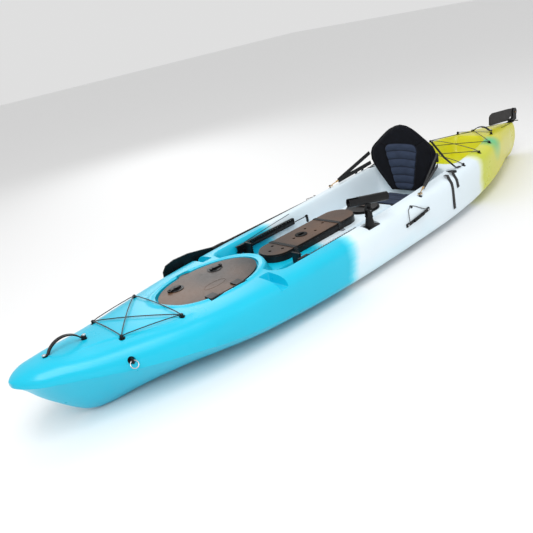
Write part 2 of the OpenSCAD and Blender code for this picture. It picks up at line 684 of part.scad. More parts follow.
module pod_outline(inset = 0) {
    r = pod_w / 2 - inset;
    for (y = [pod_y0 + pod_w / 2, pod_y1 - pod_w / 2]) translate([0, y]) circle(r = r, $fn = 60);
    translate([-r, pod_y0 + pod_w / 2]) square([2 * r, pod_y1 - pod_y0 - pod_w]);
}
module tackle_pod() {
    color("#4a443f") translate([0, 0, console_z + gap]) difference() {
        union() {
            linear_extrude(pod_h - 10) pod_outline();
            translate([0, 0, pod_h - 10]) linear_extrude(10) pod_outline(5);
        }
        translate([0, 0, -1]) linear_extrude(pod_h - pod_skin - 9) pod_outline(pod_skin + 6);
        for (p = pod_holes) translate([p[0], p[1], 0]) cylinder(h = pod_h + 5, r = 9);
        translate([-16, -412 - 24, 0]) cube([32, 48, pod_h + 5]);
        for (s = [-1, 1]) translate([0, -412 + s * 24, 0]) cylinder(h = pod_h + 5, r = 16);
    }
}
module pod_straps() {
    a = pod_w / 2 + gap;
    foot = 26;
    z0 = console_z + gap;
    z1 = pod_top + gap;
    color("#121314") for (y = pod_strap_y) translate([0, y + strap_w / 2, 0]) rotate([90, 0, 0])
        linear_extrude(strap_w)
        polygon([[-a - foot, z0], [-a, z0], [-a, z1 - 10], [-a + 5, z1], [a - 5, z1], [a, z1 - 10], [a, z0],
            [a + foot, z0],
            [a + foot, z0 + strap_t], [a + strap_t, z0 + strap_t], [a + strap_t, z1 - 9],
                [a - 4, z1 + strap_t],
            [-a + 4, z1 + strap_t], [-a - strap_t, z1 - 9], [-a - strap_t, z0 + strap_t],
                [-a - foot, z0 + strap_t]]);
}
module pod_strap_feet() {
    color("#3a3b3d") mirrored() for (y = pod_strap_y)
        translate([pod_w / 2 + 15, y, console_z + gap + strap_t]) {
        translate([-9, -strap_w / 2, 0]) cube([18, strap_w, 3]);
        translate([0, 0, 3]) cylinder(h = 2, r = 5);
    }
}

// ---- Rudder cables ----
cable_r = 2;
cable_clear = 2.6;
cable_y = [-640, -560, -450, -330, -212];
cable_drop = [30, 25, 19, 13, 8];
stern_cable_y = [stern_y - 330, stern_y - 250, stern_y - 170, stern_y - 100];
module rudder_cables() {
    color("#0c0c0d") mirrored() {
        tube([for (i = [0 : 4]) let (y = cable_y[i], z = crown_z(y) - cable_drop[i])
            [wall_x(y, z) - cable_clear, y, z]], cable_r);
        for (i = [1, 3]) let (y = cable_y[i], z = crown_z(y) - cable_drop[i])
            rod([wall_x(y, z) - cable_clear, y, z], [wall_x(y, z) + 0.6, y, z], 2.5);
        tube([for (y = stern_cable_y) let (x = 0.6 * half(y)) [x, y, dome(x, y, half(y)) + 2.2]], cable_r);
    }
}

// ---- Seat ----
seat_y1 = 622;
seat_y0 = seat_y1 - seat_d;
seat_top = floor_z + seat_t;
back_z = seat_top + 0.8;
back_front = seat_y1 - back_t / 2 + 10;
module round_box(w, l, r, h) {
    linear_extrude(h) {
        for (x = [-w / 2 + r, w / 2 - r]) for (y = [r, l - r]) translate([x, y]) circle(r = r);
        translate([-w / 2 + r, 0]) square([w - 2 * r, l]);
        translate([-w / 2, r]) square([w, l - 2 * r]);
    }
}
module seat_base() { color("#161a26") translate([0, seat_y0, floor_z + gap])
    round_box(seat_w, seat_d, 40, seat_t - gap); }

// Half outline of the backrest, as shares of its height
BACK = [[104, 0], [150, 0.05], [208, 0.16], [242, 0.3], [260, 0.45], [262, 0.55], [250, 0.66], [216, 0.75],
    [150, 0.86], [98, 0.93], [54, 0.98], [0, 1]];
module seat_back() {
    color("#10131c") translate([0, back_front + back_t, back_z]) rotate([90, 0, 0]) linear_extrude(back_t)
        polygon(concat([for (p = BACK) [p[0], p[1] * back_h]],
            [for (i = [len(BACK) - 2 : -1 : 0]) [-BACK[i][0], BACK[i][1] * back_h]]));
}
back_wide = BACK[5][0];
back_mid_y = back_front + back_t / 2;

// Flat band between two points; its width lies along the direction side
module band(a, b, w, t, side) {
    v = unit(b - a);
    s = unit(side - v * (side * v));
    u = cross(v, s);
    P = [for (q = [a, b]) for (k = [[-1, -1], [1, -1], [1, 1], [-1, 1]])
        q + s * k[0] * w / 2 + u * k[1] * t / 2];
    polyhedron(points = P, faces = [[0, 1, 2, 3], [7, 6, 5, 4], [0, 4, 5, 1], [1, 5, 6, 2], [2, 6, 7, 3],
        [3, 7, 4, 0]]);
}
module ribbon(P, w, t, side) {
    n = len(P);
    Q = [for (i = [0 : n - 1])
        let (v = unit(P[min(i + 1, n - 1)] - P[max(i - 1, 0)]), s = unit(side - v * (side * v)),
            u = cross(v, s))
        for (k = [[-1, -1], [1, -1], [1, 1], [-1, 1]]) P[i] + s * k[0] * w / 2 + u * k[1] * t / 2];
    polyhedron(points = Q, faces = concat([[0, 1, 2, 3]], [[for (k = [3 : -1 : 0]) (n - 1) * 4 + k]],
        [for (i = [0 : n - 2]) for (k = [0 : 3]) let (j = (k + 1) % 4)
            [i * 4 + k, (i + 1) * 4 + k, (i + 1) * 4 + j, i * 4 + j]]));
}

padeye_z = flat_z(padeye_x, padeye_y, fit_r);
hook_from = [padeye_x, padeye_y, padeye_z + 20];
strap_to = [back_wide + 6, back_mid_y, back_z + 0.5 * back_h];
module seat_padeyes() {
    color("#1c1d1f") mirrored() translate([padeye_x, padeye_y, padeye_z]) {
        cylinder(h = 3, r = fit_r - 1);
        cylinder(h = 24, r = 4);
        translate([0, 0, 24]) cylinder(h = 2.5, r = 6);
    }
}
module snap_hooks() {
    d = strap_to - hook_from;
    color("#b98a4a") mirrored() {
        rod(mix(hook_from, strap_to, 0.045), mix(hook_from, strap_to, 0.16), 3);
        rod(mix(hook_from, strap_to, 0.15), mix(hook_from, strap_to, 0.19), 6);
        translate(hook_from) rotate([0, 0, atan2(d[1], d[0])]) translate([6, 0, 0]) difference() {
            cylinder(h = 4, r = 14, center = true);
            cylinder(h = 5, r = 11, center = true);
        }
    }
}
module seat_straps() {
    a = mix(hook_from, strap_to, 0.192);
    color("#101112") mirrored() {
        band(a, strap_to + [0, -14, 36], 26, 2, [0, 0.3, 1]);
        band(a + [1, 1.5, -5], strap_to + [0, -14, -34], 26, 2, [0, 0.3, 1]);
    }
}
back_strap_z = dome(flush_x - 8, flush_y + 66, half(flush_y + 66)) + 0.4;
module back_straps() {
    color("#101112") mirrored() ribbon([[206, back_front + back_t + 9, back_z + 0.72 * back_h],
        [268, back_front + back_t + 42, back_strap_z + 80], [flush_x, flush_y + 46, back_strap_z + 12],
        [flush_x + 4, flush_y + 62, back_strap_z], [flush_x + 8, flush_y + 96, back_strap_z]], 24, 2,
            [1, -0.3, 0]);
}
function side_of(y, z) = side_x(y, z) + 2;
module hanging_tail(y, w, drop, z_steps = 5) {
    top = crown_z(y) - 4;
    P = concat([[half(y) - 52, y, crown_z(y) + 3], [half(y) - 30, y, crown_z(y) + 3]],
        [for (d = [26, 46, 80]) if (d < drop) [side_of(y, crown_z(y) - d) + 1, y, crown_z(y) - d]],
        [[side_of(y, crown_z(y) - drop) + 2, y + 3, crown_z(y) - drop]]);
    ribbon(P, w, 2, [0, 1, 0]);
}
module strap_tails() {
    color("#0f1011") mirrored() {
        hanging_tail(568, 25, 215);
        hanging_tail(634, 25, 96);
    }
}

// ---- Swivelling rod holder ----
rod_seat_z = flat_z(rod_x, rod_y, 32);
rod_socket_h = 52;
post_top = rod_seat_z + 4 + rod_socket_h;
pivot_z = post_top + 46;
swing = -22;
cradle_tilt = 6;
cradle_r = cradle_bore / 2 + 4;
cradle_drop = cradle_r + 24;
bolt_r = 4;
socket_r = 14;
module rod_base() {
    color("#1e2023") translate([rod_x, rod_y, rod_seat_z]) difference() {
        union() {
            translate([-30, -48, 0]) cube([60, 96, 5]);
            translate([0, 0, 5]) cylinder(h = rod_socket_h - 1, r1 = 28, r2 = 19);
        }
        translate([0, 0, 12]) cylinder(h = 100, r = socket_r + run);
        for (x = [-22, 22]) for (y = [-40, 40]) translate([x, y, -1]) cylinder(h = 10, r = 2.6);
    }
}
// Post, fork and pivot are turned with the cradle about the vertical through the socket
module at_post() { translate([rod_x, rod_y, 0]) rotate([0, 0, swing]) children(); }
module rod_post() {
    color("#202225") at_post() {
        translate([0, 0, rod_seat_z + 13]) cylinder(h = post_top + 8 - rod_seat_z - 13, r = socket_r);
        difference() {
            union() {
                for (s = [-1, 1]) translate([s * 14 - 4, -14, post_top + 6])
                    cube([8, 28, pivot_z - post_top - 6]);
                for (s = [-1, 1]) translate([s * 14 - 4, 0, pivot_z]) rotate([0, 90, 0])
                    cylinder(h = 8, r = 14);
                translate([-18, -16, post_top + 1]) cube([36, 32, 8]);
            }
            translate([-30, 0, pivot_z]) rotate([0, 90, 0]) cylinder(h = 60, r = bolt_r + run);
        }
    }
}
module rod_cradle() {
    color("#1b1c1f") at_post() translate([0, 0, pivot_z]) rotate([-cradle_tilt, 0, 0]) difference() {
        union() {
            translate([-9.7, -13, 0]) cube([19.4, 26, 40]);
            translate([-9.7, 0, 0]) rotate([0, 90, 0]) cylinder(h = 19.4, r = 13);
            translate([0, -cradle_l / 2, cradle_drop + 8]) rotate([-90, 0, 0])
                cylinder(h = cradle_l, r = cradle_r);
        }
        translate([0, -cradle_l, cradle_drop + 8]) rotate([-90, 0, 0])
            cylinder(h = 2 * cradle_l, r = cradle_bore / 2);
        translate([-20, 0, 0]) rotate([0, 90, 0]) cylinder(h = 40, r = bolt_r + run);
        translate([-14, -cradle_l / 2 - 1, cradle_drop + 8]) cube([28, 60, 60]);
    }
}
module rod_bolt() {
    color("#9a9da1") at_post() translate([0, 0, pivot_z]) rotate([0, 90, 0]) {
        translate([0, 0, -26]) cylinder(h = 56, r = bolt_r);
        translate([0, 0, -26]) cylinder(h = 7, r = 7, $fn = 6);
    }
}
module rod_knob() {
    color("#151618") at_post() translate([18 + gap, 0, pivot_z]) rotate([0, 90, 0]) difference() {
        union() {
            cylinder(h = 16, r = 13);
            for (a = [0 : 60 : 300]) rotate(a) translate([12, 0, 0]) cylinder(h = 16, r = 4);
        }
        translate([0, 0, -1]) cylinder(h = 20, r = bolt_r + run);
    }
}

// ---- Flush rod holders ----
flush_z = flat_z(flush_x, flush_y, 34);
flush_l = 150;
module flush_rod_holders() {
    color("#1d1c1c") mirrored() translate([flush_x, flush_y, flush_z]) difference() {
        union() {
            cylinder(h = 5, r = 34);
            translate([0, 0, 5 - flush_l]) cylinder(h = flush_l, r = flush_bore / 2 + 2);
        }
        translate([0, 0, 8 - flush_l]) cylinder(h = flush_l, r = flush_bore / 2);
    }
}

// ---- Side handles with their paddle keepers ----
handle_len = norm([side_y[1] - side_y[0], side_z[1] - side_z[0]]);
grip_r = 8;
// Room for fingers between the hull and the grip
grip_gap = 6;
handle_angle = atan2(side_z[1] - side_z[0], side_y[1] - side_y[0]);
side_mid = [(side_y[0] + side_y[1]) / 2, (side_z[0] + side_z[1]) / 2];
side_seat = flat_x(side_mid[0], side_mid[1], 22, handle_len / 2) - 1;
module at_side(d = 0) { translate([side_seat + d, side_mid[0], side_mid[1]]) rotate([handle_angle, 0, 0])
    children(); }
module side_handle_cut() { at_side() translate([0, -handle_len / 2 - 16, -16])
    cube([40, handle_len + 32, 32]); }
module side_handles() {
    color("#141517") mirrored() at_side() {
        for (s = [-1, 1]) translate([0, s * handle_len / 2 - 13, -11]) cube([6, 26, 22]);
        difference() {
            translate([6, -handle_len / 2 - 13, -9]) cube([5, handle_len + 26, 18]);
            for (s = [-1, 1]) translate([5, s * handle_len / 2, 0]) rotate([0, 90, 0])
                cylinder(h = 10, r = 3);
        }
        translate([grip_gap + grip_r, -50, 0]) rotate([-90, 0, 0]) cylinder(h = 100, r = grip_r);
    }
}
module side_handle_screws() {
    color("#c3c6c9") mirrored() at_side() for (s = [-1, 1]) translate([6, s * handle_len / 2, 0])
        rotate([0, 90, 0]) {
        cylinder(h = 5, r = 2.9);
        translate([0, 0, 5]) cylinder(h = 2.5, r = 6);
    }
}
clip_x = flat_x(clip_y, clip_z, 10);
module keeper_cut() { translate([clip_x, clip_y - 14, clip_z - 14]) cube([60, 28, 80]); }
module keeper_clips() {
    color("#1b1c1e") mirrored() translate([clip_x, clip_y, clip_z]) rotate([0, 90, 0]) {
        cylinder(h = 4, r = 12);
        translate([0, 0, 4]) cylinder(h = 6, r = 5);
        translate([0, 0, 10]) cylinder(h = 3, r = 9);
    }
}
keeper_r = 2;
keeper_z = [250 * kz, 284 * kz];
// Cord from one end of the side handle up round the clip and back; out is how far from the centre plane it passes
module keeper(out) {
    y = [side_mid[0] - handle_len / 2 + 14, side_mid[0] + handle_len / 2 - 14];
    z = [side_mid[1] + 2, side_mid[1] + 18];
    x0 = side_seat + 12 + keeper_r;
    x1 = clip_x + 7;
    tube([[x0, y[0], z[0]], [out[0], y[0] + 6, keeper_z[0]], [out[1], y[0] + 20, keeper_z[1]],
        [x1, clip_y - 8, clip_z + 8],
        [x1, clip_y + 8, clip_z + 8], [out[1], clip_y + 30, keeper_z[1]], [out[0], y[1] - 36, keeper_z[0]],
            [x0, y[1], z[1]]],
        keeper_r, [1, 0, 0]);
}
module keeper_cords() {
    s = -paddle_x + shaft_d / 2 + keeper_r + 0.5;
    color("#1a1b1d") {
        keeper([side_x(clip_y, keeper_z[0]) + 6, side_x(clip_y, keeper_z[1]) + 5]);
        mirror([1, 0, 0]) keeper([s, s - 1]);
    }
}

// ---- Tank well fittings and cord ----
module tank_fittings() { color("#1e1f22") mirrored() for (p = tank_pairs) on_deck(p, p[1] > tank_y1 ? 90 : 8)
    cord_post(); }
module tank_cord() {
    P = tank_pairs;
    color("#20231c") {
        for (i = [0, 1]) for (s = [-1, 1])
            cord_run(cord_point(P[i], s), cord_point(P[i + 1], -s), s > 0 ? 16 : 8);
        for (s = [-1, 1]) cord_run(cord_point(P[2], s), [s * 14, tank_y1 + 40, cord_point(P[3])[2] + 6], 3);
        cord_run(cord_point(P[3]), cord_point(P[3], -1), 3);
    }
}

// ---- Rudder ----
steer_y = stern_y - 18;
bracket_z = flat_z(0, stern_y - 70, 22) - 4;
bracket_t = 7;
head_z = bracket_z + bracket_t + gap;
head_h = 22;
flip_y = stern_y + 38;
flip_z = head_z + 64;
flip_r = 4;
steer_r = 5;
cheek_t = 5;
blade_t = 10;
stow = 6.5;
yoke_x = 62;
module rudder_cut() { translate([-24, stern_y - 112, bracket_z]) cube([48, 200, 80]); }
module rudder_bracket() {
    color("#17181a") {
        translate([-20, stern_y - 104, bracket_z]) cube([40, 108, bracket_t]);
        translate([0, steer_y, bracket_z + bracket_t]) cylinder(h = head_h + 3, r = steer_r);
    }
}
module rudder_head() {
    color("#1a1b1d") difference() {
        union() {
            translate([-16, steer_y - 16, head_z]) cube([32, 34, head_h]);
            for (s = [-1, 1]) translate([s * (blade_t / 2 + 1 + cheek_t / 2) - cheek_t / 2, 0, 0]) {
                translate([0, flip_y, flip_z]) rotate([0, 90, 0]) cylinder(h = cheek_t, r = 34);
                translate([0, steer_y - 16, head_z]) cube([cheek_t, flip_y - steer_y + 40, 20]);
                translate([0, flip_y - 30, head_z + 19]) cube([cheek_t, 54, 40]);
            }
            translate([-yoke_x, steer_y, head_z + 8]) rotate([0, 90, 0]) cylinder(h = 2 * yoke_x, r = 4);
        }
        translate([0, steer_y, head_z - 5]) cylinder(h = head_h + 8, r = steer_r + run);
        translate([-30, flip_y, flip_z]) rotate([0, 90, 0]) cylinder(h = 60, r = flip_r + run);
    }
}
// Blade in its stowed place, pointing forward over the stern deck
module rudder_blade() {
    root = 33;
    color("#1f1d1a") translate([0, flip_y, flip_z]) rotate([-stow, 0, 0]) difference() {
        union() {
            rotate([0, 90, 0]) cylinder(h = blade_t, r = root, center = true);
            translate([-blade_t / 2, 0, 0]) rotate([90, 0, 90]) linear_extrude(blade_t)
                polygon([[0, root], [-40, root],
                [-90, blade_w / 2 - 10], [-blade_l + 46, blade_w / 2 - 10],
                    [-blade_l + 14, blade_w / 2 - 22], [-blade_l, 10],
                [-blade_l, -blade_w / 2 - 4], [-blade_l + 12, -blade_w / 2 - 10], [-110, -blade_w / 2 - 10],
                    [-60, -root + 4], [0, -root]]);
        }
        rotate([0, 90, 0]) cylinder(h = 60, r = flip_r + run, center = true);
    }
}
module rudder_pins() {
    color("#8a6a4a") translate([-blade_t / 2 - cheek_t - 4, flip_y, flip_z]) rotate([0, 90, 0]) {
        cylinder(h = blade_t + 2 * cheek_t + 8, r = flip_r);
        for (z = [-3, blade_t + 2 * cheek_t + 8]) translate([0, 0, z]) cylinder(h = 3, r = 7);
    }
}

// ---- Paddle ----
paddle_z = side_mid[1] + 11 + 26 + shaft_d / 2;
paddle_x = -(side_x(0, paddle_z) + 2.5 + shaft_d / 2);
paddle_mid = -25;
blade_len = 450;
module paddle_shaft() {
    color("#1a1b1d") translate([paddle_x, paddle_mid - paddle_l / 2 + blade_len - 60, paddle_z])
        rotate([-90, 0, 0])
        cylinder(h = paddle_l - 2 * blade_len + 120, r = shaft_d / 2);
}
module paddle_blade() {
    difference() {
        translate([-4, 0, 0]) rotate([90, 0, 90]) linear_extrude(8)
            polygon([[70, -14], [150, -44], [260, -86], [360, -92],
            [430, -66], [450, -30], [446, 10], [420, 40], [360, 53], [260, 50], [150, 30], [70, 14]]);
        rotate([-90, 0, 0]) cylinder(h = 80, r = shaft_d / 2 + run);
    }
    difference() {
        rotate([-90, 0, 0]) cylinder(h = 90, r = shaft_d / 2 + 3);
        translate([0, -1, 0]) rotate([-90, 0, 0]) cylinder(h = 61, r = shaft_d / 2 + run);
    }
}
module paddle_blades() {
    color("#141516") translate([paddle_x, paddle_mid, paddle_z]) for (s = [-1, 1])
        translate([0, s * (paddle_l / 2 - blade_len), 0]) mirror([0, s > 0 ? 0 : 1, 0]) paddle_blade();
}

// ---- Drain plug ----
drain = [0, 118];
module drain_cut() { translate([drain[0], stern_y - 6, drain[1] * kz + 30]) rotate([-90, 0, 0])
    cylinder(h = 20, r = 14, $fn = 24); }
module drain_plug() {
    color("#1c1d1f") translate([drain[0], stern_y - 6 + gap, drain[1] * kz + 30]) rotate([-90, 0, 0]) {
        cylinder(h = 5, r = 12);
        translate([-10, -2, 5]) cube([20, 4, 3]);
    }
}

// ---- Hull ----
module hull_shell() {
    color("#2bb9e0") difference() {
        skin(outer_y, 0, 0, 6, 4, [2, 2, 3, 2, 1]);
        skin(inner_y, wall, 16, 6, 2, [1, 1, 2, 1, 1]);
        hull_cuts();
    }
}

hull_shell();
hatch_rim();
hatch_seal();
hatch_hinge_ears();
hatch_hinge_pin();
hatch_lid();
hatch_lid_knuckles();
latch_cups();
latch_lever_front();
latch_lever_rear();
day_hatch_frame();
day_hatch_seal();
day_hatch_lid();
bow_handle();
stern_handle();
handle_caps();
bow_eyes();
bow_ring_port();
bow_ring_starboard();
bow_cord_fittings();
bow_cord();
foot_rail_port();
foot_rail_starboard();
pedal_carriage_port();
pedal_carriage_starboard();
toe_pedal_port();
toe_pedal_starboard();
adjuster_port();
adjuster_starboard();
tackle_pod();
pod_straps();
pod_strap_feet();
rudder_cables();
seat_base();
seat_back();
seat_straps();
back_straps();
strap_tails();
snap_hooks();
seat_padeyes();
rod_base();
rod_post();
rod_cradle();
rod_bolt();
rod_knob();
flush_rod_holders();
side_handles();
side_handle_screws();
keeper_cords();
keeper_clips();
tank_fittings();
tank_cord();
rudder_bracket();
rudder_head();
rudder_blade();
rudder_pins();
paddle_shaft();
paddle_blades();
drain_plug();
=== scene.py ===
"""Looks of a sit-on-top fishing kayak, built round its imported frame. Metres; X port, Y to the stern, Z up."""
import bpy
import bmesh
import json
import math
import numpy as np
from mathutils import Matrix, Vector

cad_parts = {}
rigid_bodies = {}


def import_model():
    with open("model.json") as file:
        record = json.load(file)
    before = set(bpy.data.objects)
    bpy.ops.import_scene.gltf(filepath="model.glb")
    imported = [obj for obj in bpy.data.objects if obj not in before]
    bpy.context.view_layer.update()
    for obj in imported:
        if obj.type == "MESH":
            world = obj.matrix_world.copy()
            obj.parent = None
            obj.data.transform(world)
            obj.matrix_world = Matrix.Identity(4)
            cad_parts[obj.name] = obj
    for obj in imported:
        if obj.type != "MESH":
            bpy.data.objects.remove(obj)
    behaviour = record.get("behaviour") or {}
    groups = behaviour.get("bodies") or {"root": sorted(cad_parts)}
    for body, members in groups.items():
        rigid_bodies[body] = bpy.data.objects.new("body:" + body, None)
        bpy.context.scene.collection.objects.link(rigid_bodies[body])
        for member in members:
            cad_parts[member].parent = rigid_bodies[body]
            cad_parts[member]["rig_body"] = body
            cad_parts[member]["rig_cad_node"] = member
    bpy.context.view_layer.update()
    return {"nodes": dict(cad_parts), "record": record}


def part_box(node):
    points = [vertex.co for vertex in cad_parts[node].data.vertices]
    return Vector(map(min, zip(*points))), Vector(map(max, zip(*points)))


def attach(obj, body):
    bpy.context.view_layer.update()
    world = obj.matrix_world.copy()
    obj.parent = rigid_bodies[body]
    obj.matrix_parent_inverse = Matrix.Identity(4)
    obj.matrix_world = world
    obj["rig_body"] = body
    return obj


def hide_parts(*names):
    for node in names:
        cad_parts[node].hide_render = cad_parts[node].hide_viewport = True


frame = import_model()
nodes = frame["nodes"]


# ---------------------------------------------------------------- camera and light
def camera():
    heading, down, roll = math.radians(-51.7), math.radians(22.7), math.radians(-12.3)
    ahead = Vector((math.sin(heading) * math.cos(down), math.cos(heading) * math.cos(down), -math.sin(down)))
    right = ahead.cross(Vector((0, 0, 1))).normalized()
    up = right.cross(ahead)
    r = right * math.cos(roll) + up * math.sin(roll)
    u = -right * math.sin(roll) + up * math.cos(roll)
    data = bpy.data.cameras.new("camera")
    data.sensor_width = 36.0
    data.lens = 39.5122
    data.clip_end = 100
    cam = bpy.data.objects.new("camera", data)
    bpy.context.scene.collection.objects.link(cam)
    place = (2.352, -2.570, 1.462)
    rows = [(r[i], u[i], -ahead[i], place[i]) for i in range(3)]
    cam.matrix_world = Matrix((*rows, (0, 0, 0, 1)))
    bpy.context.scene.camera = cam


def lamp(name, place, aim, size, power, tint=(1, 1, 1)):
    data = bpy.data.lights.new(name, "AREA")
    data.shape = "RECTANGLE"
    data.size, data.size_y = size
    data.energy = power
    data.color = tint
    lit = bpy.data.objects.new(name, data)
    bpy.context.scene.collection.objects.link(lit)
    lit.location = place
    lit.rotation_euler = (Vector(aim) - Vector(place)).to_track_quat("-Z", "Y").to_euler()


def studio():
    bpy.context.scene.view_settings.view_transform = "Standard"
    world = bpy.data.worlds.new("studio")
    bpy.context.scene.world = world
    world.use_nodes = True
    world.node_tree.nodes["Background"].inputs[0].default_value = (1, 1, 1, 1)
    world.node_tree.nodes["Background"].inputs[1].default_value = 0.74
    lamp("key", (2.2, -2.6, 4.6), (0, -0.2, 0.2), (2.6, 4.4), 165)
    lamp("sky_strip", (-3.2, 1.0, 3.6), (0, 0, 0.3), (1.6, 6.0), 55, (0.97, 0.99, 1))
    lamp("side", (4.6, 0.8, 1.5), (0.3, 0, 0.2), (1.2, 5.0), 14)
    bpy.ops.mesh.primitive_plane_add(size=60, location=(0, 0, 0))
    floor = bpy.context.object
    floor.name = "floor"
    m = bpy.data.materials.new("floor")
    m.use_nodes = True
    b = m.node_tree.nodes["Principled BSDF"]
    b.inputs["Base Color"].default_value = (0.86, 0.86, 0.86, 1)
    b.inputs["Roughness"].default_value = 0.95
    b.inputs["Specular IOR Level"].default_value = 0.1
    floor.data.materials.append(m)


# ---------------------------------------------------------------- finishes
class Finish:
    """A material and its node tree, with short ways to add and join nodes."""

    def __init__(self, name):
        self.m = bpy.data.materials.new(name)
        self.m.use_nodes = True
        self.t = self.m.node_tree
        self.shader = self.t.nodes["Principled BSDF"]
        self.where = self.t.nodes.new("ShaderNodeTexCoord").outputs["Object"]

    def node(self, kind, **inputs):
        n = self.t.nodes.new(kind)
        for key, value in inputs.items():
            if hasattr(value, "is_output"):
                self.t.links.new(value, n.inputs[key])
            else:
                n.inputs[key].default_value = value
        return n

    def link(self, a, key):
        self.t.links.new(a, self.shader.inputs[key])

    def stretched(self, scale):
        n = self.t.nodes.new("ShaderNodeMapping")
        self.t.links.new(self.where, n.inputs["Vector"])
        n.inputs["Scale"].default_value = scale
        return n.outputs[0]

    def noise(self, scale, detail=3.0, rough=0.55, vector=None):
        n = self.node("ShaderNodeTexNoise", Scale=scale, Detail=detail, Roughness=rough)
        self.t.links.new(vector or self.where, n.inputs["Vector"])
        return n.outputs["Fac"]

    def math(self, kind, a, b=None, clamp=False):
        n = self.t.nodes.new("ShaderNodeMath")
        n.operation = kind
        n.use_clamp = clamp
        for i, v in enumerate((a, b)):
            if v is None:
                continue
            if hasattr(v, "is_output"):
                self.t.links.new(v, n.inputs[i])
            else:
                n.inputs[i].default_value = v
        return n.outputs[0]

    def ramp(self, fac, stops):
        n = self.t.nodes.new("ShaderNodeValToRGB")
        self.t.links.new(fac, n.inputs[0])
        e = n.color_ramp.elements
        while len(e) < len(stops):
            e.new(0.5)
        for i, (place, colour) in enumerate(stops):
            e[i].position = place
            e[i].color = (*colour, 1)
        return n.outputs[0]

    def mix(self, fac, a, b, way="MIX"):
        n = self.t.nodes.new("ShaderNodeMix")
        n.data_type = "RGBA"
        n.blend_type = way
        for i, v in ((0, fac), (6, a), (7, b)):
            if hasattr(v, "is_output"):
                self.t.links.new(v, n.inputs[i])
            else:
                n.inputs[i].default_value = v if i == 0 else (*v, 1)
        return n.outputs[2]

    def bump(self, height, strength, distance=0.001):
        n = self.node("ShaderNodeBump", Strength=strength, Distance=distance, Height=height)
        self.link(n.outputs[0], "Normal")

    def set(self, **values):
        for key, value in values.items():
            self.shader.inputs[key.replace("_", " ")].default_value = value


def moulded(name, colour, rough=0.42, grain=900, bump=0.12, spread=0.25):
    """Moulded plastic with a fine pebbled skin, cloudy gloss and paler scuffs."""
    f = Finish(name)
    cloud = f.noise(14, 4)
    pale = tuple(min(1, c * (1 + spread) + 0.001) for c in colour)
    dark = tuple(c * (1 - spread) for c in colour)
    f.link(f.ramp(cloud, [(0.3, dark), (0.7, pale)]), "Base Color")
    r = f.ramp(f.noise(45, 5, 0.6), [(0.3, (rough - 0.07,) * 3), (0.75, (rough + 0.1,) * 3)])
    f.link(r, "Roughness")
    f.bump(f.noise(grain, 2), bump, 0.0004)
    f.set(Specular_IOR_Level=0.24)
    return f.m


def painted_sheen_lid(name, colour, painted_sheen_colour, top, y0, y1):
    """Satin lid plastic: near black at its sides, with a painted sheen over its top, a painted reflection, that grows
    from y0 to y1.
    """
    f = Finish(name)
    x, y, z = f.node("ShaderNodeSeparateXYZ", Vector=f.where).outputs
    on_top = f.math("MULTIPLY", f.math("SUBTRACT", z, top - 0.004), 400, True)
    grown = f.math("DIVIDE", f.math("SUBTRACT", y, y0), y1 - y0, True)
    cloud = f.math("MULTIPLY", f.math("SUBTRACT", f.noise(5, 2, 0.4), 0.30), 2.4, True)
    # Painted reflection: the tan sheen is mixed into the base colour, on the top face only.
    painted_sheen_mask = f.math("MULTIPLY", f.math("MULTIPLY", f.math("ADD", grown, cloud), 0.5), on_top)
    f.link(f.ramp(painted_sheen_mask, [(0.08, colour), (0.85, painted_sheen_colour)]), "Base Color")
    f.link(f.ramp(f.noise(60, 5), [(0.3, (0.27,) * 3), (0.8, (0.4,) * 3)]), "Roughness")
    f.bump(f.noise(700, 2), 0.12, 0.0004)
    f.set(Specular_IOR_Level=0.26)
    return f.m


def metal(name, colour, rough=0.28, brushed=(40, 900, 900)):
    f = Finish(name)
    lines = f.noise(1, 3, 0.6, f.stretched(brushed))
    f.link(f.ramp(lines, [(0.25, tuple(c * 0.8 for c in colour)), (0.75, colour)]), "Base Color")
    f.link(f.ramp(f.noise(50, 3), [(0.3, (rough - 0.08,) * 3), (0.7, (rough + 0.12,) * 3)]), "Roughness")
    f.bump(lines, 0.1, 0.0002)
    f.set(Metallic=1.0)
    return f.m


def woven(name, colour, pitch=0.0022, bump=0.5, sheen=0.3):
    """Cloth with crossing threads; pitch is the distance between threads."""
    f = Finish(name)
    waves = []
    for axis in "XYZ":
        n = f.node("ShaderNodeTexWave", Scale=1 / pitch / 3.14, Distortion=0.6, Detail=1.0)
        n.wave_type = "BANDS"
        n.bands_direction = axis
        f.t.links.new(f.where, n.inputs["Vector"])
        waves.append(n.outputs["Fac"])
    weave = f.math("MULTIPLY", f.math("ADD", waves[0], waves[1]), f.math("ADD", waves[2], 0.4))
    worn = f.noise(22, 4)
    base = f.ramp(worn, [(0.3, tuple(c * 0.75 for c in colour)), (0.75, tuple(c * 1.3 + 0.001 for c in colour))])
    lit = tuple(min(1, c * 1.9 + 0.004) for c in colour)
    f.link(f.mix(f.math("MULTIPLY", weave, 0.35, True), base, lit), "Base Color")
    f.bump(weave, bump, 0.0006)
    f.set(Roughness=0.85, Sheen_Weight=sheen, Sheen_Roughness=0.45)
    return f.m


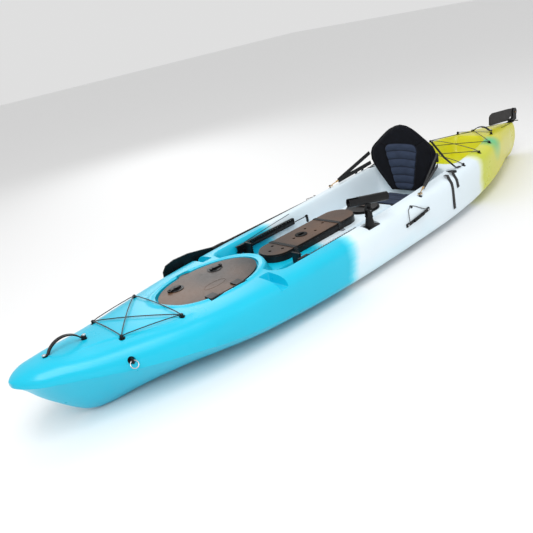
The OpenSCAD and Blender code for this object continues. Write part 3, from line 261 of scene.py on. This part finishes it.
def hull_plastic():
    """Glossy plastic, streaked from turquoise at the bow through white to yellow at the stern."""
    f = Finish("hull_plastic")
    x, y, z = f.node("ShaderNodeSeparateXYZ", Vector=f.where).outputs
    drift = f.noise(2.6, 3, 0.5, f.stretched((1.5, 0.45, 1.4)))
    fine = f.noise(16, 5, 0.62, f.stretched((2.4, 0.5, 2.4)))
    wander = f.math("MULTIPLY", f.math("SUBTRACT", drift, 0.5), 0.15)
    shift = f.math("ADD", wander, f.math("MULTIPLY", f.math("SUBTRACT", fine, 0.5), 0.035))
    along = f.math("ADD", y, shift)
    t = f.math("DIVIDE", f.math("ADD", along, 2.15), 4.3, True)
    turquoise, pale_blue, white = (0.003, 0.50, 0.70), (0.13, 0.68, 0.84), (0.74, 0.84, 0.90)
    cream, lime, yellow = (0.74, 0.80, 0.42), (0.56, 0.62, 0.014), (0.66, 0.63, 0.008)
    bands = [(0.0, turquoise), (0.392, turquoise), (0.401, pale_blue), (0.413, white), (0.716, white), (0.726, cream),
             (0.738, lime), (0.83, yellow)]
    body = f.ramp(t, bands)
    tint = f.math("MULTIPLY", f.math("SUBTRACT", f.noise(1.7, 3, 0.5, f.stretched((2.2, 0.7, 2.2))), 0.52), 3.2, True)
    white_part = f.math("MULTIPLY", f.math("GREATER_THAN", t, 0.40), f.math("LESS_THAN", t, 0.715))
    body = f.mix(f.math("MULTIPLY", f.math("MULTIPLY", tint, white_part), 0.45), body, (0.42, 0.78, 0.90))
    spot = f.node("ShaderNodeVectorMath", Vector=f.where)
    spot.operation = "DISTANCE"
    spot.inputs[1].default_value = (0.20, 1.37, 0.30)
    patch = f.math("SUBTRACT", 0.150, f.math("ADD", spot.outputs["Value"], f.math("MULTIPLY", shift, 0.45)))
    colour = f.mix(f.math("MULTIPLY", patch, 9.0, True), body, (0.05, 0.52, 0.20))
    cloud = f.ramp(f.noise(2.5, 3), [(0.3, (0.96,) * 3), (0.7, (1.0,) * 3)])
    f.link(f.mix(1.0, colour, cloud, "MULTIPLY"), "Base Color")
    f.link(f.ramp(f.noise(5, 3), [(0.3, (0.27,) * 3), (0.75, (0.33,) * 3)]), "Roughness")
    f.bump(f.noise(420, 2), 0.03, 0.0003)
    f.set(Coat_Weight=0.12, Coat_Roughness=0.2, Specular_IOR_Level=0.36)
    return f.m


camera()
studio()

# The second colour is the painted reflection that the lid finishes mix over the tops of the hatch lid, the tackle pod
# and the day hatch lid.
LID_DARK, LID_PAINTED_SHEEN = (0.0065, 0.0055, 0.0055), (0.105, 0.052, 0.026)
black = moulded("black_plastic", (0.0038, 0.004, 0.0048), 0.36)
finish = {
    "hull_plastic": hull_plastic(),
    "black_plastic": black,
    # The hatch lid's finish has a painted reflection over its top.
    "brown_plastic": painted_sheen_lid("lid_plastic", LID_DARK, LID_PAINTED_SHEEN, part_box("hatch_lid")[1].z, -0.80, -1.40),
    "seal_rubber": moulded("seal_rubber", (0.003, 0.003, 0.003), 0.7, 1500, 0.2),
    "steel": metal("steel", (0.62, 0.63, 0.66)),
    "pale_cap": metal("cap_steel", (0.66, 0.68, 0.7), 0.35),
    "cord": woven("shock_cord", (0.004, 0.004, 0.005), 0.0012, 0.7),
    "cable": moulded("cable_sheath", (0.003, 0.003, 0.0035), 0.35, 1200, 0.1),
    "seat_fabric": woven("seat_cloth", (0.012, 0.013, 0.022), 0.0024, 0.5),
    "webbing": woven("webbing", (0.003, 0.003, 0.0035), 0.0016, 0.8, 0.1),
    "brass": metal("brass", (0.72, 0.47, 0.2), 0.25),
    "bronze": metal("bronze", (0.32, 0.2, 0.11), 0.35),
    "blade_plastic": moulded("blade_plastic", (0.0065, 0.0052, 0.0045), 0.36, 700, 0.15),
    "paddle_black": moulded("paddle_black", (0.004, 0.0045, 0.0052), 0.3, 500, 0.08),
}
# The pod and day hatch lid finishes also carry a painted reflection on their tops.
pod_plastic = painted_sheen_lid("pod_plastic", LID_DARK, LID_PAINTED_SHEEN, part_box("tackle_pod")[1].z, -0.78, -0.15)
day_lid_plastic = painted_sheen_lid("day_lid_plastic", LID_DARK, LID_PAINTED_SHEEN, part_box("day_hatch_lid")[1].z, 0.30, 0.02)
slot_of = {s["node"]: s["material_slot"] for s in frame["record"]["subparts"]}
for name, o in nodes.items():
    o.data.materials.clear()
    o.data.materials.append(finish[slot_of[name]])


# ---------------------------------------------------------------- shaping helpers
def clear():
    if bpy.context.object and bpy.context.object.mode != "OBJECT":
        bpy.ops.object.mode_set(mode="OBJECT")
    bpy.ops.object.select_all(action="DESELECT")


def only(o):
    clear()
    o.select_set(True)
    bpy.context.view_layer.objects.active = o


def settle(o):
    """Puts the object's place into its mesh."""
    only(o)
    bpy.ops.object.transform_apply(location=True, rotation=True, scale=True)


def smooth(o, angle=35):
    only(o)
    bpy.ops.object.shade_smooth_by_angle(angle=math.radians(angle))


def modify(o, kind, **values):
    only(o)
    m = o.modifiers.new(kind.lower(), kind)
    for key, value in values.items():
        setattr(m, key, value)
    bpy.ops.object.modifier_apply(modifier=m.name)


def piece(o, name, body, slot, *replaced, material=None):
    o.name = name
    o.data.name = name
    if not o.data.materials:
        o.data.materials.append(material or finish[slot])
    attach(o, body)
    if replaced:
        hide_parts(*replaced)
    return o


def body_of(node):
    return next(b for b, members in frame["record"]["behaviour"]["bodies"].items() if node in members)


def tidy_faces(o, size=0.00004):
    """Drops the folded slivers that a bevel or a cut can leave."""
    only(o)
    bpy.ops.object.mode_set(mode="EDIT")
    bpy.ops.mesh.select_all(action="SELECT")
    bpy.ops.mesh.remove_doubles(threshold=size / 2)
    bpy.ops.mesh.dissolve_degenerate(threshold=size)
    bpy.ops.object.mode_set(mode="OBJECT")


def softened(node, width=0.0008, segments=2):
    """A copy of a CAD node with its edges rounded, as a mould leaves them."""
    o = nodes[node].copy()
    o.data = nodes[node].data.copy()
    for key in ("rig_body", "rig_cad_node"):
        if key in o:
            del o[key]
    o.parent = None
    bpy.context.scene.collection.objects.link(o)
    only(o)
    bpy.ops.object.mode_set(mode="EDIT")
    bpy.ops.mesh.select_all(action="SELECT")
    bpy.ops.mesh.remove_doubles(threshold=0.00002)
    bpy.ops.mesh.dissolve_limited(angle_limit=math.radians(2))
    bpy.ops.object.mode_set(mode="OBJECT")
    modify(o, "BEVEL", width=width, segments=segments, limit_method="ANGLE", angle_limit=math.radians(40),
           harden_normals=False)
    tidy_faces(o)
    smooth(o, 60)
    modify(o, "WEIGHTED_NORMAL", weight=80, keep_sharp=True)
    return piece(o, node + "_looks", body_of(node), slot_of[node], node)


# ---------------------------------------------------------------- lines of the hull, in millimetres as in the frame
HALF = [(-2150, 85), (-2050, 115), (-1860, 186), (-1700, 238), (-1440, 316), (-1290, 346), (-1020, 376), (-640, 392),
        (0, 400), (400, 398), (800, 378), (1100, 338), (1325, 290), (1550, 226), (1800, 142), (2000, 76), (2150, 40)]
CREASE = [(-2150, 300), (-1994, 266), (-1860, 238), (-1700, 204), (-1440, 166), (-1290, 144), (-1020, 120),
          (-640, 100), (-200, 88), (400, 88), (900, 96), (1240, 104), (1550, 120), (1800, 140), (2150, 170)]
KEEL = [(-2150, 299), (-2106, 258), (-2060, 195), (-1994, 121), (-1941, 68), (-1895, 32), (-1830, 8), (-1750, 0),
        (1950, 0), (2040, 8), (2104, 34), (2150, 112)]
CROWN = [(-2150, 322), (-2110, 340), (-2050, 350), (-1979, 350), (-1880, 342), (-1800, 335), (-1684, 330),
         (-1500, 321), (-1400, 315), (-1290, 308), (-830, 302), (-520, 305), (-150, 310), (118, 317), (283, 324),
         (525, 333), (700, 337), (1325, 338), (1555, 332), (1700, 322), (1900, 302), (2050, 286), (2150, 271)]
FULL = [(-2150, 2.4), (-1860, 2.6), (-1700, 2.8), (-1440, 3.6), (-1290, 5), (-1020, 7), (-640, 9), (600, 9),
        (1000, 9), (1325, 8), (1555, 6.5), (1800, 4.5), (2150, 3)]
FLOOR = [(-2150, 1.2), (-1860, 1.2), (-1440, 1.5), (-1020, 2.1), (-400, 2.7), (400, 2.8), (1000, 2.4), (1500, 1.8),
         (2150, 1.6)]
BILGE = [(-2150, 1), (-1440, 1.1), (-1020, 1.6), (-400, 2), (400, 2), (1000, 1.7), (1500, 1.4), (2150, 1.3)]
BOW, STERN = -2150.0, 2150.0
HATCH_Y, LID_A, LID_B = -1100.0, 190.0, 290.0
FLOOR_Z, CONSOLE_Z, TANK_Z = 130.0, 235.447, 217.909
COCK = (-880.0, 716.0)
TANK = (790.0, 1500.0)
CON_HALF, CON_FOOT, CON_END = 140.0, 32.0, 292.0
RAIL, WALL = 98.0, 60.0
RIM_RISE, RIM_OUT, RIM_WIDTH = 6.5, 25, 9
PANEL_RISE, PANEL_HALF, PANEL_SPREAD = 3.5, 88, 150
LID_GAP = 44


def ease(t):
    return 0.0 if t <= 0 else 1.0 if t >= 1 else t * t * (3 - 2 * t)


def curve(table, x):
    i = 0
    while i < len(table) - 2 and x >= table[i + 1][0]:
        i += 1

    def rise(k):
        return (table[k + 1][1] - table[k][1]) / (table[k + 1][0] - table[k][0])

    def slope(k):
        if k == 0:
            return rise(0)
        if k == len(table) - 1:
            return rise(k - 1)
        a, b = rise(k - 1), rise(k)
        return 0.0 if a * b <= 0 else 2 * a * b / (a + b)

    w = table[i + 1][0] - table[i][0]
    t = min(max((x - table[i][0]) / w, 0), 1)
    a, b, m, n = table[i][1], table[i + 1][1], slope(i) * w, slope(i + 1) * w
    return a + t * (m + t * (3 * (b - a) - 2 * m - n + t * (m + n - 2 * (b - a))))


def rounding(d, r):
    return 1.0 if d >= r else math.sqrt(max(0.0, 1 - (1 - d / r) ** 2))


def half(y):
    return curve(HALF, y) * rounding(y - BOW, 110) * rounding(STERN - y, 70)


def dome(x, y, h=None, s=None):
    h = h or half(y)
    full, crease, crown = s or (curve(FULL, y), curve(CREASE, y), curve(CROWN, y))
    return crease + (crown - crease) * max(0.0, 1 - min(abs(x) / h, 1) ** full) ** (1 / full)


def flat_z(x, y, r):
    return min(dome(x + a, y + b) for a in (-r, r) for b in (-r, r)) - 0.6


def inside(x, y, w, y0, y1, r):
    a, b = r - (w - abs(x)), r - min(y - y0, y1 - y)
    return r - math.hypot(max(a, 0), max(b, 0))


def ellipse_out(x, y, a, b):
    return (math.hypot(x / a, (y - HATCH_Y) / b) - 1) * min(a, b)


def mix(a, b, t):
    return a + (b - a) * t


def deck(x, y, h, s):
    """Height of the deck, with its hatch rim, foredeck panel, cockpit, console and tank well."""
    top = dome(x, y, h, s)
    out = ellipse_out(x, y, LID_A, LID_B)
    if out < 60:
        top += RIM_RISE * math.exp(-((out - RIM_OUT) / RIM_WIDTH) ** 2)
    if y < -1330:
        panel = PANEL_HALF + PANEL_SPREAD * ease((y + 1840) / 420)
        top += PANEL_RISE * ease((panel - abs(x)) / 15) * ease((y + 1910) / 70) * ease((-1352 - y) / 40)
    edge = max(h - RAIL, 0.6 * h)
    low = top
    if COCK[0] < y < COCK[1]:
        beyond_hatch = ellipse_out(x, y, LID_A + LID_GAP, LID_B + LID_GAP)
        well = min(ease(inside(x, y, edge, *COCK, 80) / WALL), ease(beyond_hatch / 26))
        con = min(ease((CON_HALF + CON_FOOT - abs(x)) / CON_FOOT), ease((CON_END - y) / 40))
        low = mix(top, mix(FLOOR_Z, CONSOLE_Z, con), well)
    elif TANK[0] < y < TANK[1]:
        low = mix(top, TANK_Z, ease(inside(x, y, edge, *TANK, 70) / WALL))
    return low


def section(y):
    """One ring of points round the hull at station y, from the keel up the port side and back."""
    h, zk, p, q = half(y), curve(KEEL, y), curve(FLOOR, y), curve(BILGE, y)
    s = (curve(FULL, y), curve(CREASE, y), curve(CROWN, y))
    ring = [(0, y, zk), (h * 0.06, y, zk)]
    for k in range(17):
        a = math.radians(90 * k / 16)
        x, z = h * (0.12 + 0.88 * math.sin(a) ** (2 / p)), s[1] - (s[1] - zk) * max(math.cos(a), 0) ** (2 / q)
        ring.append((x, y, z))
    for k in range(1, 11):
        x = h * (1 - 0.06 * (k / 11) ** 2)
        ring.append((x, y, dome(x, y, h, s)))
    stops = [(0.94 * h, 7), (max(h - RAIL, 0.6 * h), 12), (max(h - RAIL - WALL, 0.48 * h), 8),
             (min(CON_HALF + CON_FOOT, 0.44 * h), 8), (min(CON_HALF, 0.36 * h), 16), (0, 0)]
    for (x0, n), (x1, _) in zip(stops, stops[1:]):
        ring += [(x, y, deck(x, y, h, s)) for x in (mix(x0, x1, j / n) for j in range(n))]
    ring.append((0, y, deck(0, y, h, s)))
    return ring + [(-x, yy, z) for x, yy, z in reversed(ring[1:-1])]


def stations():
    """Where the rings stand along the hull: close together where the deck is steep."""
    steep = (COCK[0] + 25, -750, -1420, CON_END - 20, COCK[1] - 30, TANK[0] + 30, TANK[1] - 30)
    out = [BOW + 2, BOW + 5, BOW + 10, BOW + 17, BOW + 26, BOW + 38]
    y = BOW + 52
    while y < STERN - 60:
        out.append(y)
        y += 5.5 if min(abs(y - k) for k in steep) < 46 else 12.0
    return out + [STERN - 55, STERN - 42, STERN - 30, STERN - 20, STERN - 12, STERN - 6, STERN - 2]


def loft(rings, name):
    """A closed skin through rings with equal numbers of points."""
    n = len(rings[0])
    points = [tuple(c / 1000 for c in p) for r in rings for p in r]
    faces = [[i * n + (j + 1) % n, i * n + j, (i + 1) * n + j, (i + 1) * n + (j + 1) % n]
             for i in range(len(rings) - 1) for j in range(n)]
    faces.append(list(range(n)))
    faces.append([(len(rings) - 1) * n + j for j in range(n - 1, -1, -1)])
    mesh = bpy.data.meshes.new(name)
    mesh.from_pydata(points, [], faces)
    mesh.update()
    o = bpy.data.objects.new(name, mesh)
    bpy.context.scene.collection.objects.link(o)
    only(o)
    bpy.ops.object.mode_set(mode="EDIT")
    bpy.ops.mesh.select_all(action="SELECT")
    bpy.ops.mesh.normals_make_consistent(inside=False)
    bpy.ops.object.mode_set(mode="OBJECT")
    return o


def disc_cutter(x, y, z, r, tall=0.06, sides=24, along="Z"):
    """A cylinder standing on x, y, z: upwards, or outwards when it lies along X."""
    turn = (0, math.radians(90), 0) if along == "X" else (0, 0, 0)
    place = [x, y, z]
    if along == "X":
        place[0] += tall / 2 if x >= 0 else -tall / 2
    else:
        place[2] += tall / 2
    clear()
    bpy.ops.mesh.primitive_cylinder_add(vertices=sides, radius=r, depth=tall, location=place, rotation=turn)
    settle(bpy.context.object)
    return bpy.context.object


def oval_cutter(a, b, z0, z1, y=HATCH_Y, sides=96):
    clear()
    bpy.ops.mesh.primitive_cylinder_add(vertices=sides, radius=1, depth=1, location=(0, y / 1000, (z0 + z1) / 2000))
    o = bpy.context.object
    o.scale = (a / 1000, b / 1000, (z1 - z0) / 1000)
    settle(o)
    return o


def box_cutter(lo, hi):
    clear()
    bpy.ops.mesh.primitive_cube_add(size=1, location=[(p + q) / 2000 for p, q in zip(lo, hi)])
    o = bpy.context.object
    o.scale = [(q - p) / 1000 for p, q in zip(lo, hi)]
    settle(o)
    return o


def carve(o, cutters):
    for c in cutters:
        m = o.modifiers.new("cut", "BOOLEAN")
        m.operation = "DIFFERENCE"
        m.solver = "EXACT"
        m.object = c
        only(o)
        bpy.ops.object.modifier_apply(modifier=m.name)
        bpy.data.objects.remove(c)


def seat_disc(x, y, r):
    """Cuts the flat that a round deck fitting sits on."""
    return disc_cutter(x / 1000, y / 1000, flat_z(x, y, r) / 1000, (r + 1) / 1000)


def notch_cutter(side):
    """Cuts the notch beside the hatch: a box with tapered sides and a sloped inner face."""
    y, w = HATCH_Y + 172, 37
    x, z = half(y) - 138, curve(CROWN, y) - 52
    o = box_cutter((x - 16, y - w, z), (x + 200, y + w, z + 70))
    for v in o.data.vertices:
        if v.co.z < (z + 30) / 1000:
            v.co.y += 0.012 if v.co.y < y / 1000 else -0.012
            if v.co.x < (x + 50) / 1000:
                v.co.x += 0.016
    modify(o, "BEVEL", width=0.008, segments=4, limit_method="ANGLE")
    for v in o.data.vertices:
        v.co.x *= side
    if side < 0:
        only(o)
        bpy.ops.object.mode_set(mode="EDIT")
        bpy.ops.mesh.select_all(action="SELECT")
        bpy.ops.mesh.flip_normals()
        bpy.ops.object.mode_set(mode="OBJECT")
    return o


def hull():
    """The smooth hull that stands for hull_shell, with its recesses, bores and fitting seats cut."""
    o = loft([section(y) for y in stations()], "hull_looks")
    floor_z = curve(CROWN, HATCH_Y) - 20
    flush_y, steer_y = 682.0, 2038.0
    flush_x = half(flush_y) - 66
    seats = [seat_disc(0, y, 14) for y in (-1979, -1799)]
    for node in ("bow_cord_fittings", "tank_fittings", "seat_padeyes"):
        seats += [seat_disc(1000 * x, 1000 * y, 14) for x, y in islands(node)]
    seats += [seat_disc(s * 74, 1662, 14) for s in (1, -1)]
    lo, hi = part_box("bow_eyes")
    eye = (lo.y + hi.y) / 2, (lo.z + hi.z) / 2
    eye_foot = hi.x - 0.026
    for s in (1, -1):
        seats.append(seat_disc(s * flush_x, flush_y, 34))
        seats.append(disc_cutter(s * eye_foot, *eye, 0.017, along="X"))
    seats.append(box_cutter((308, -251, 289.4), (428, -149, 350)))
    seats.append(box_cutter((-24, steer_y, 271), (24, steer_y + 200, 350)))
    bores = [oval_cutter(LID_A - 34, LID_B - 34, 70, 330), disc_cutter(0, 0.15, 0.1, 0.086, 0.2, 64)]
    bores += [disc_cutter(s * flush_x / 1000, flush_y / 1000, 0.13, 0.0228, 0.4, 32) for s in (1, -1)]
    recess = [oval_cutter(LID_A + 12, LID_B + 12, floor_z, floor_z + 90)]
    recess.append(box_cutter((LID_A - 40, HATCH_Y - 146, floor_z), (LID_A + 24, HATCH_Y + 84, floor_z + 90)))
    recess.append(disc_cutter((-LID_A + 22) / 1000, (HATCH_Y - 18) / 1000, floor_z / 1000, 0.056, 0.09, 64))
    carve(o, seats + recess + bores + [notch_cutter(s) for s in (1, -1)])
    tidy_faces(o)
    smooth(o, 32)
    return piece(o, "hull_looks", "hull", "hull_plastic", "hull_shell")


def islands(node):
    """Centre x and y of each loose piece of a CAD node."""
    bm = bmesh.new()
    bm.from_mesh(nodes[node].data)
    bmesh.ops.remove_doubles(bm, verts=bm.verts, dist=0.00002)
    left, out = set(bm.verts), []
    while left:
        group, todo = [], [left.pop()]
        while todo:
            v = todo.pop()
            group.append(v)
            for e in v.link_edges:
                w = e.other_vert(v)
                if w in left:
                    left.discard(w)
                    todo.append(w)
        xs, ys, _ = zip(*[v.co for v in group])
        out.append(((min(xs) + max(xs)) / 2, (min(ys) + max(ys)) / 2))
    bm.free()
    return sorted(out)


# ---------------------------------------------------------------- padded seat
def seat_cloth(name, plain, panel):
    """Black cloth with a blue panel where the piece's own "panel" value is 1, and dark seams; the "seam" value also
    carries painted shade in the grooves between the backrest's ribs.
    """
    f = Finish(name)
    pitch, waves = 0.0026, []
    for axis in "XZY":
        n = f.node("ShaderNodeTexWave", Scale=1 / pitch / 3.14, Distortion=0.8, Detail=1.0)
        n.bands_direction = axis
        f.t.links.new(f.where, n.inputs["Vector"])
        waves.append(n.outputs["Fac"])
    weave = f.math("MULTIPLY", f.math("ADD", waves[0], waves[2]), f.math("ADD", waves[1], 0.3))
    spots = f.noise(18, 4)
    ground = f.ramp(spots, [(0.3, tuple(c * 0.7 for c in plain)), (0.75, tuple(c * 1.4 for c in plain))])
    blue = f.ramp(spots, [(0.3, tuple(c * 0.85 for c in panel)), (0.75, tuple(c * 1.2 for c in panel))])
    where_panel = f.node("ShaderNodeAttribute")
    where_panel.attribute_name = "panel"
    seam = f.node("ShaderNodeAttribute")
    seam.attribute_name = "seam"
    colour = f.mix(where_panel.outputs["Fac"], ground, blue)
    colour = f.mix(f.math("MULTIPLY", weave, 0.03, True), colour, panel)
    # Darkens by the "seam" value: real dark seams, plus painted shade in the rib grooves of the backrest.
    f.link(f.mix(seam.outputs["Fac"], colour, (0.004, 0.004, 0.006)), "Base Color")
    f.bump(weave, 0.2, 0.0004)
    f.set(Roughness=0.9, Sheen_Weight=0.05, Sheen_Roughness=0.5, Specular_IOR_Level=0.15)
    return f.m


def points_of(o):
    co = np.zeros(len(o.data.vertices) * 3)
    o.data.vertices.foreach_get("co", co)
    return co.reshape(-1, 3)


def put_points(o, co):
    o.data.vertices.foreach_set("co", co.ravel())
    o.data.update()


def stuff(o, cap, voxel=0.0055, pressure=4.0):
    """Fills a closed skin: it swells under its own pressure, by no more than cap."""
    modify(o, "REMESH", mode="VOXEL", voxel_size=voxel)
    rest = points_of(o)
    only(o)
    m = o.modifiers.new("cloth", "CLOTH")
    m.settings.use_pressure = True
    m.settings.uniform_pressure_force = pressure
    m.settings.effector_weights.gravity = 0
    m.settings.quality = 5
    m.point_cache.frame_end = 20
    for step in range(1, 21):
        bpy.context.scene.frame_set(step)
    bpy.ops.object.modifier_apply(modifier=m.name)
    bpy.context.scene.frame_set(1)
    move = points_of(o) - rest
    far = np.linalg.norm(move, axis=1)
    put_points(o, rest + move * np.minimum(1, cap / np.maximum(far, 1e-9))[:, None])
    modify(o, "SUBSURF", levels=1, render_levels=1)


def plate(outline, y0, y1, name):
    """A closed slab of the given outline in X and Z, from y0 to y1, with pillowed edges."""
    n = len(outline)
    rings = []
    cz = sum(p[1] for p in outline) / n
    for y, inset in ((y0, 0.016), (y0 + 0.007, 0.005), (y0 + 0.016, 0),
                     (y1 - 0.016, 0), (y1 - 0.007, 0.005), (y1, 0.016)):
        rings.append([(p[0] * (1 - inset / 0.25), y, cz + (p[1] - cz) * (1 - inset / 0.25)) for p in outline])
    return loft([[tuple(1000 * c for c in p) for p in r] for r in rings], name)


def bump_at(d, width):
    """1 where d is 0, fading to 0 within about two widths."""
    return np.exp(-(d / width) ** 2)


def corner_distance(u, v, w, v0, v1, r):
    """Distance inside a rounded box whose half width w may change with v."""
    a, b = r - (w - np.abs(u)), r - np.minimum(v - v0, v1 - v)
    return r - np.hypot(np.maximum(a, 0), np.maximum(b, 0))


def mark(o, name, values):
    """Stores one value for each point, which the cloth reads by that name."""
    at = o.data.attributes.new(name, "FLOAT", "POINT")
    at.data.foreach_set("value", values.astype(np.float32))


BACK = [(112, 0), (140, 0.06), (180, 0.18), (220, 0.3), (248, 0.4), (261, 0.48), (262, 0.57), (257, 0.63), (241, 0.685),
        (203, 0.755), (160, 0.83), (120, 0.895), (86, 0.945), (50, 0.982), (0, 1)]


def seat_back():
    """Padded backrest with a ribbed panel, a rim seam and two shoulder seams."""
    lo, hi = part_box("seat_back")
    tall = hi.z - lo.z
    heights = np.linspace(0, 1, 60)
    width = np.interp(heights, [p[1] for p in BACK], [p[0] / 1000 for p in BACK])
    width = np.convolve(np.pad(width, 2, mode="edge"), np.ones(5) / 5, "valid")
    width[-1] = 0.0
    right = [(w + 0.004 if h < 1 else 0.0, lo.z + 0.004 + h * (tall - 0.008)) for h, w in zip(heights, width)]
    outline = right + [(-x, z) for x, z in reversed(right[:-1])]
    o = plate(outline, lo.y + 0.006, hi.y - 0.006, "seat_back_pad")
    stuff(o, 0.007)
    co = points_of(o)
    x, z = co[:, 0], co[:, 2]
    front = np.clip((hi.y - 0.012 - co[:, 1]) / 0.012, 0, 1)
    edge = (np.interp((z - lo.z) / tall, heights, width) - np.abs(x)) * 0.86
    w = np.interp(z, [lo.z, lo.z + 0.33], [0.062, 0.132])
    z0, z1 = lo.z + 0.018, lo.z + 0.345
    d = corner_distance(x, z + 0.6 * x * x, w, z0, z1, 0.046)
    arch = z + 0.9 * x * x
    rib = np.abs(np.sin(math.pi * (arch - z0) / 0.056))
    panel = np.clip(d / 0.003 + 0.5, 0, 1)
    run = np.array([0.085, 0.043])
    off = np.stack([np.abs(x) - 0.120, z - (z1 - 0.015)], 1)
    along = np.clip(off @ run / (run @ run), 0, 1)
    shoulder = np.linalg.norm(off - along[:, None] * run, axis=1)
    ring = np.minimum(np.abs(d), np.minimum(np.abs(edge - 0.024), shoulder))
    deep = 0.0055 * bump_at(ring, 0.0045) - panel * (0.0095 * rib ** 0.55 - 0.005) - 0.003 * bump_at(edge - 0.012, 0.01)
    co[:, 1] += front * deep - 0.007 * (np.abs(x) / 0.262) ** 2
    put_points(o, co)
    # Painted shade: the grooves between the ribs are darkened in colour as well as pressed in, and stored with the
    # seams.
    painted_groove_shade = panel * np.clip(1 - rib / 0.22, 0, 1)
    mark(o, "panel", panel * front)
    mark(o, "seam", np.clip(np.maximum(bump_at(ring, 0.0028), painted_groove_shade) * front * 0.85, 0, 1))
    smooth(o, 80)
    piece(o, "seat_back_pad", "seat_back", "seat_fabric", "seat_back", material=cloth)


def seat_cushion():
    """Padded seat with a panel sewn across twice."""
    lo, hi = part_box("seat_base")
    clear()
    bpy.ops.mesh.primitive_cube_add(size=1, location=(lo + hi) / 2)
    o = bpy.context.object
    o.scale = (hi.x - lo.x - 0.014, hi.y - lo.y - 0.012, hi.z - lo.z - 0.012)
    settle(o)
    modify(o, "BEVEL", width=0.016, segments=4, limit_method="ANGLE")
    stuff(o, 0.008)
    co = points_of(o)
    x, y = co[:, 0], co[:, 1]
    mid = (lo.y + hi.y) / 2
    top = np.clip((co[:, 2] - (hi.z - 0.02)) / 0.012, 0, 1)
    d = corner_distance(x, y, 0.128, mid - 0.092, mid + 0.120, 0.04)
    panel = np.clip(d / 0.003 + 0.5, 0, 1)
    split = np.minimum(np.abs(y - (mid - 0.018)), np.abs(y - (mid + 0.052)))
    seam = np.minimum(np.abs(d), np.where(d > 0, split, 1))
    co[:, 2] += top * (-0.006 * bump_at(seam, 0.005) + 0.003 * panel)
    co[:, 2] = np.clip(co[:, 2], lo.z + 0.0002, hi.z + 0.001)
    put_points(o, co)
    mark(o, "panel", panel * top)
    mark(o, "seam", np.clip(bump_at(seam, 0.003) * top * 0.85, 0, 1))
    smooth(o, 80)
    piece(o, "seat_cushion", "hull", "seat_fabric", "seat_base", material=cloth)


def lid_mark():
    """Faint raised oval on the hatch lid."""
    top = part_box("hatch_lid")[1].z
    clear()
    bpy.ops.mesh.primitive_torus_add(major_radius=0.067, minor_radius=0.0011, major_segments=96, minor_segments=10,
                                     location=(0.072, -1.115, top))
    o = bpy.context.object
    o.scale = (0.42, 1, 0.8)
    settle(o)
    smooth(o, 60)
    piece(o, "lid_oval", "hatch_lid", "brown_plastic")


def back_tabs():
    """Folded webbing sewn to the edges of the backrest, where its straps begin."""
    lo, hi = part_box("seat_back")
    y = (lo.y + hi.y) / 2
    for side, name in ((1, "port"), (-1, "starboard")):
        clear()
        bpy.ops.mesh.primitive_cube_add(size=1, location=(side * 0.2565, y, lo.z + 0.52 * (hi.z - lo.z)))
        o = bpy.context.object
        o.scale = (0.022, 0.007, 0.060)
        settle(o)
        modify(o, "BEVEL", width=0.003, segments=3, limit_method="ANGLE")
        smooth(o, 50)
        piece(o, "back_tab_" + name, "seat_back", "webbing")


def rail_teeth(rail, side):
    """Notches along the inner top edge of a foot rail, where its pedal locks."""
    lo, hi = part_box(rail.name.replace("_looks", ""))
    inner = lo.x if side > 0 else hi.x
    clear()
    bpy.ops.mesh.primitive_cube_add(size=1, location=(inner, lo.y + 0.022, hi.z))
    o = bpy.context.object
    o.scale = (0.012, 0.009, 0.014)
    settle(o)
    modify(o, "ARRAY", count=23, use_relative_offset=False, use_constant_offset=True,
           constant_offset_displace=(0, 0.0195, 0))
    carve(rail, [o])


def pod_collar():
    """Black rubber collar round the slot in the tackle pod."""
    top, slot_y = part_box("tackle_pod")[1].z, -0.412
    clear()
    bpy.ops.mesh.primitive_cylinder_add(vertices=64, radius=0.037, depth=0.003, location=(0, slot_y, top + 0.001))
    o = bpy.context.object
    settle(o)
    bpy.ops.mesh.primitive_cube_add(size=1, location=(0, slot_y, top))
    hole = bpy.context.object
    hole.scale = (0.022, 0.048, 0.02)
    settle(hole)
    modify(hole, "BEVEL", width=0.0105, segments=8, limit_method="ANGLE")
    carve(o, [hole])
    modify(o, "BEVEL", width=0.0008, segments=2, limit_method="ANGLE")
    smooth(o, 50)
    piece(o, "pod_collar", body_of("tackle_pod"), "seal_rubber")


cloth = seat_cloth("seat_panels", (0.0022, 0.0024, 0.0045), (0.034, 0.047, 0.082))
hull()
seat_back()
seat_cushion()
lid_mark()
back_tabs()
EDGE_WIDTHS = {"hatch_lid": 0.003, "tackle_pod": 0.003, "day_hatch_lid": 0.0025, "side_handles": 0.0015,
               "rod_base": 0.0015, "rod_post": 0.0015, "hatch_lid_knuckles": 0.0015, "latch_lever_front": 0.0015,
               "latch_lever_rear": 0.0015, "rod_cradle": 0.0022, "rod_knob": 0.0012, "rudder_blade": 0.002,
               "rudder_head": 0.0012, "foot_rail_port": 0.001, "foot_rail_starboard": 0.001, "bow_handle": 0.001,
               "stern_handle": 0.001, "toe_pedal_port": 0.0015, "toe_pedal_starboard": 0.0015}
made = {}
for node, width in EDGE_WIDTHS.items():
    made[node] = softened(node, width)
# The pod and day hatch lid take finishes with a painted reflection on their tops.
made["tackle_pod"].data.materials[0] = pod_plastic
made["day_hatch_lid"].data.materials[0] = day_lid_plastic
rail_teeth(made["foot_rail_port"], 1)
rail_teeth(made["foot_rail_starboard"], -1)
pod_collar()
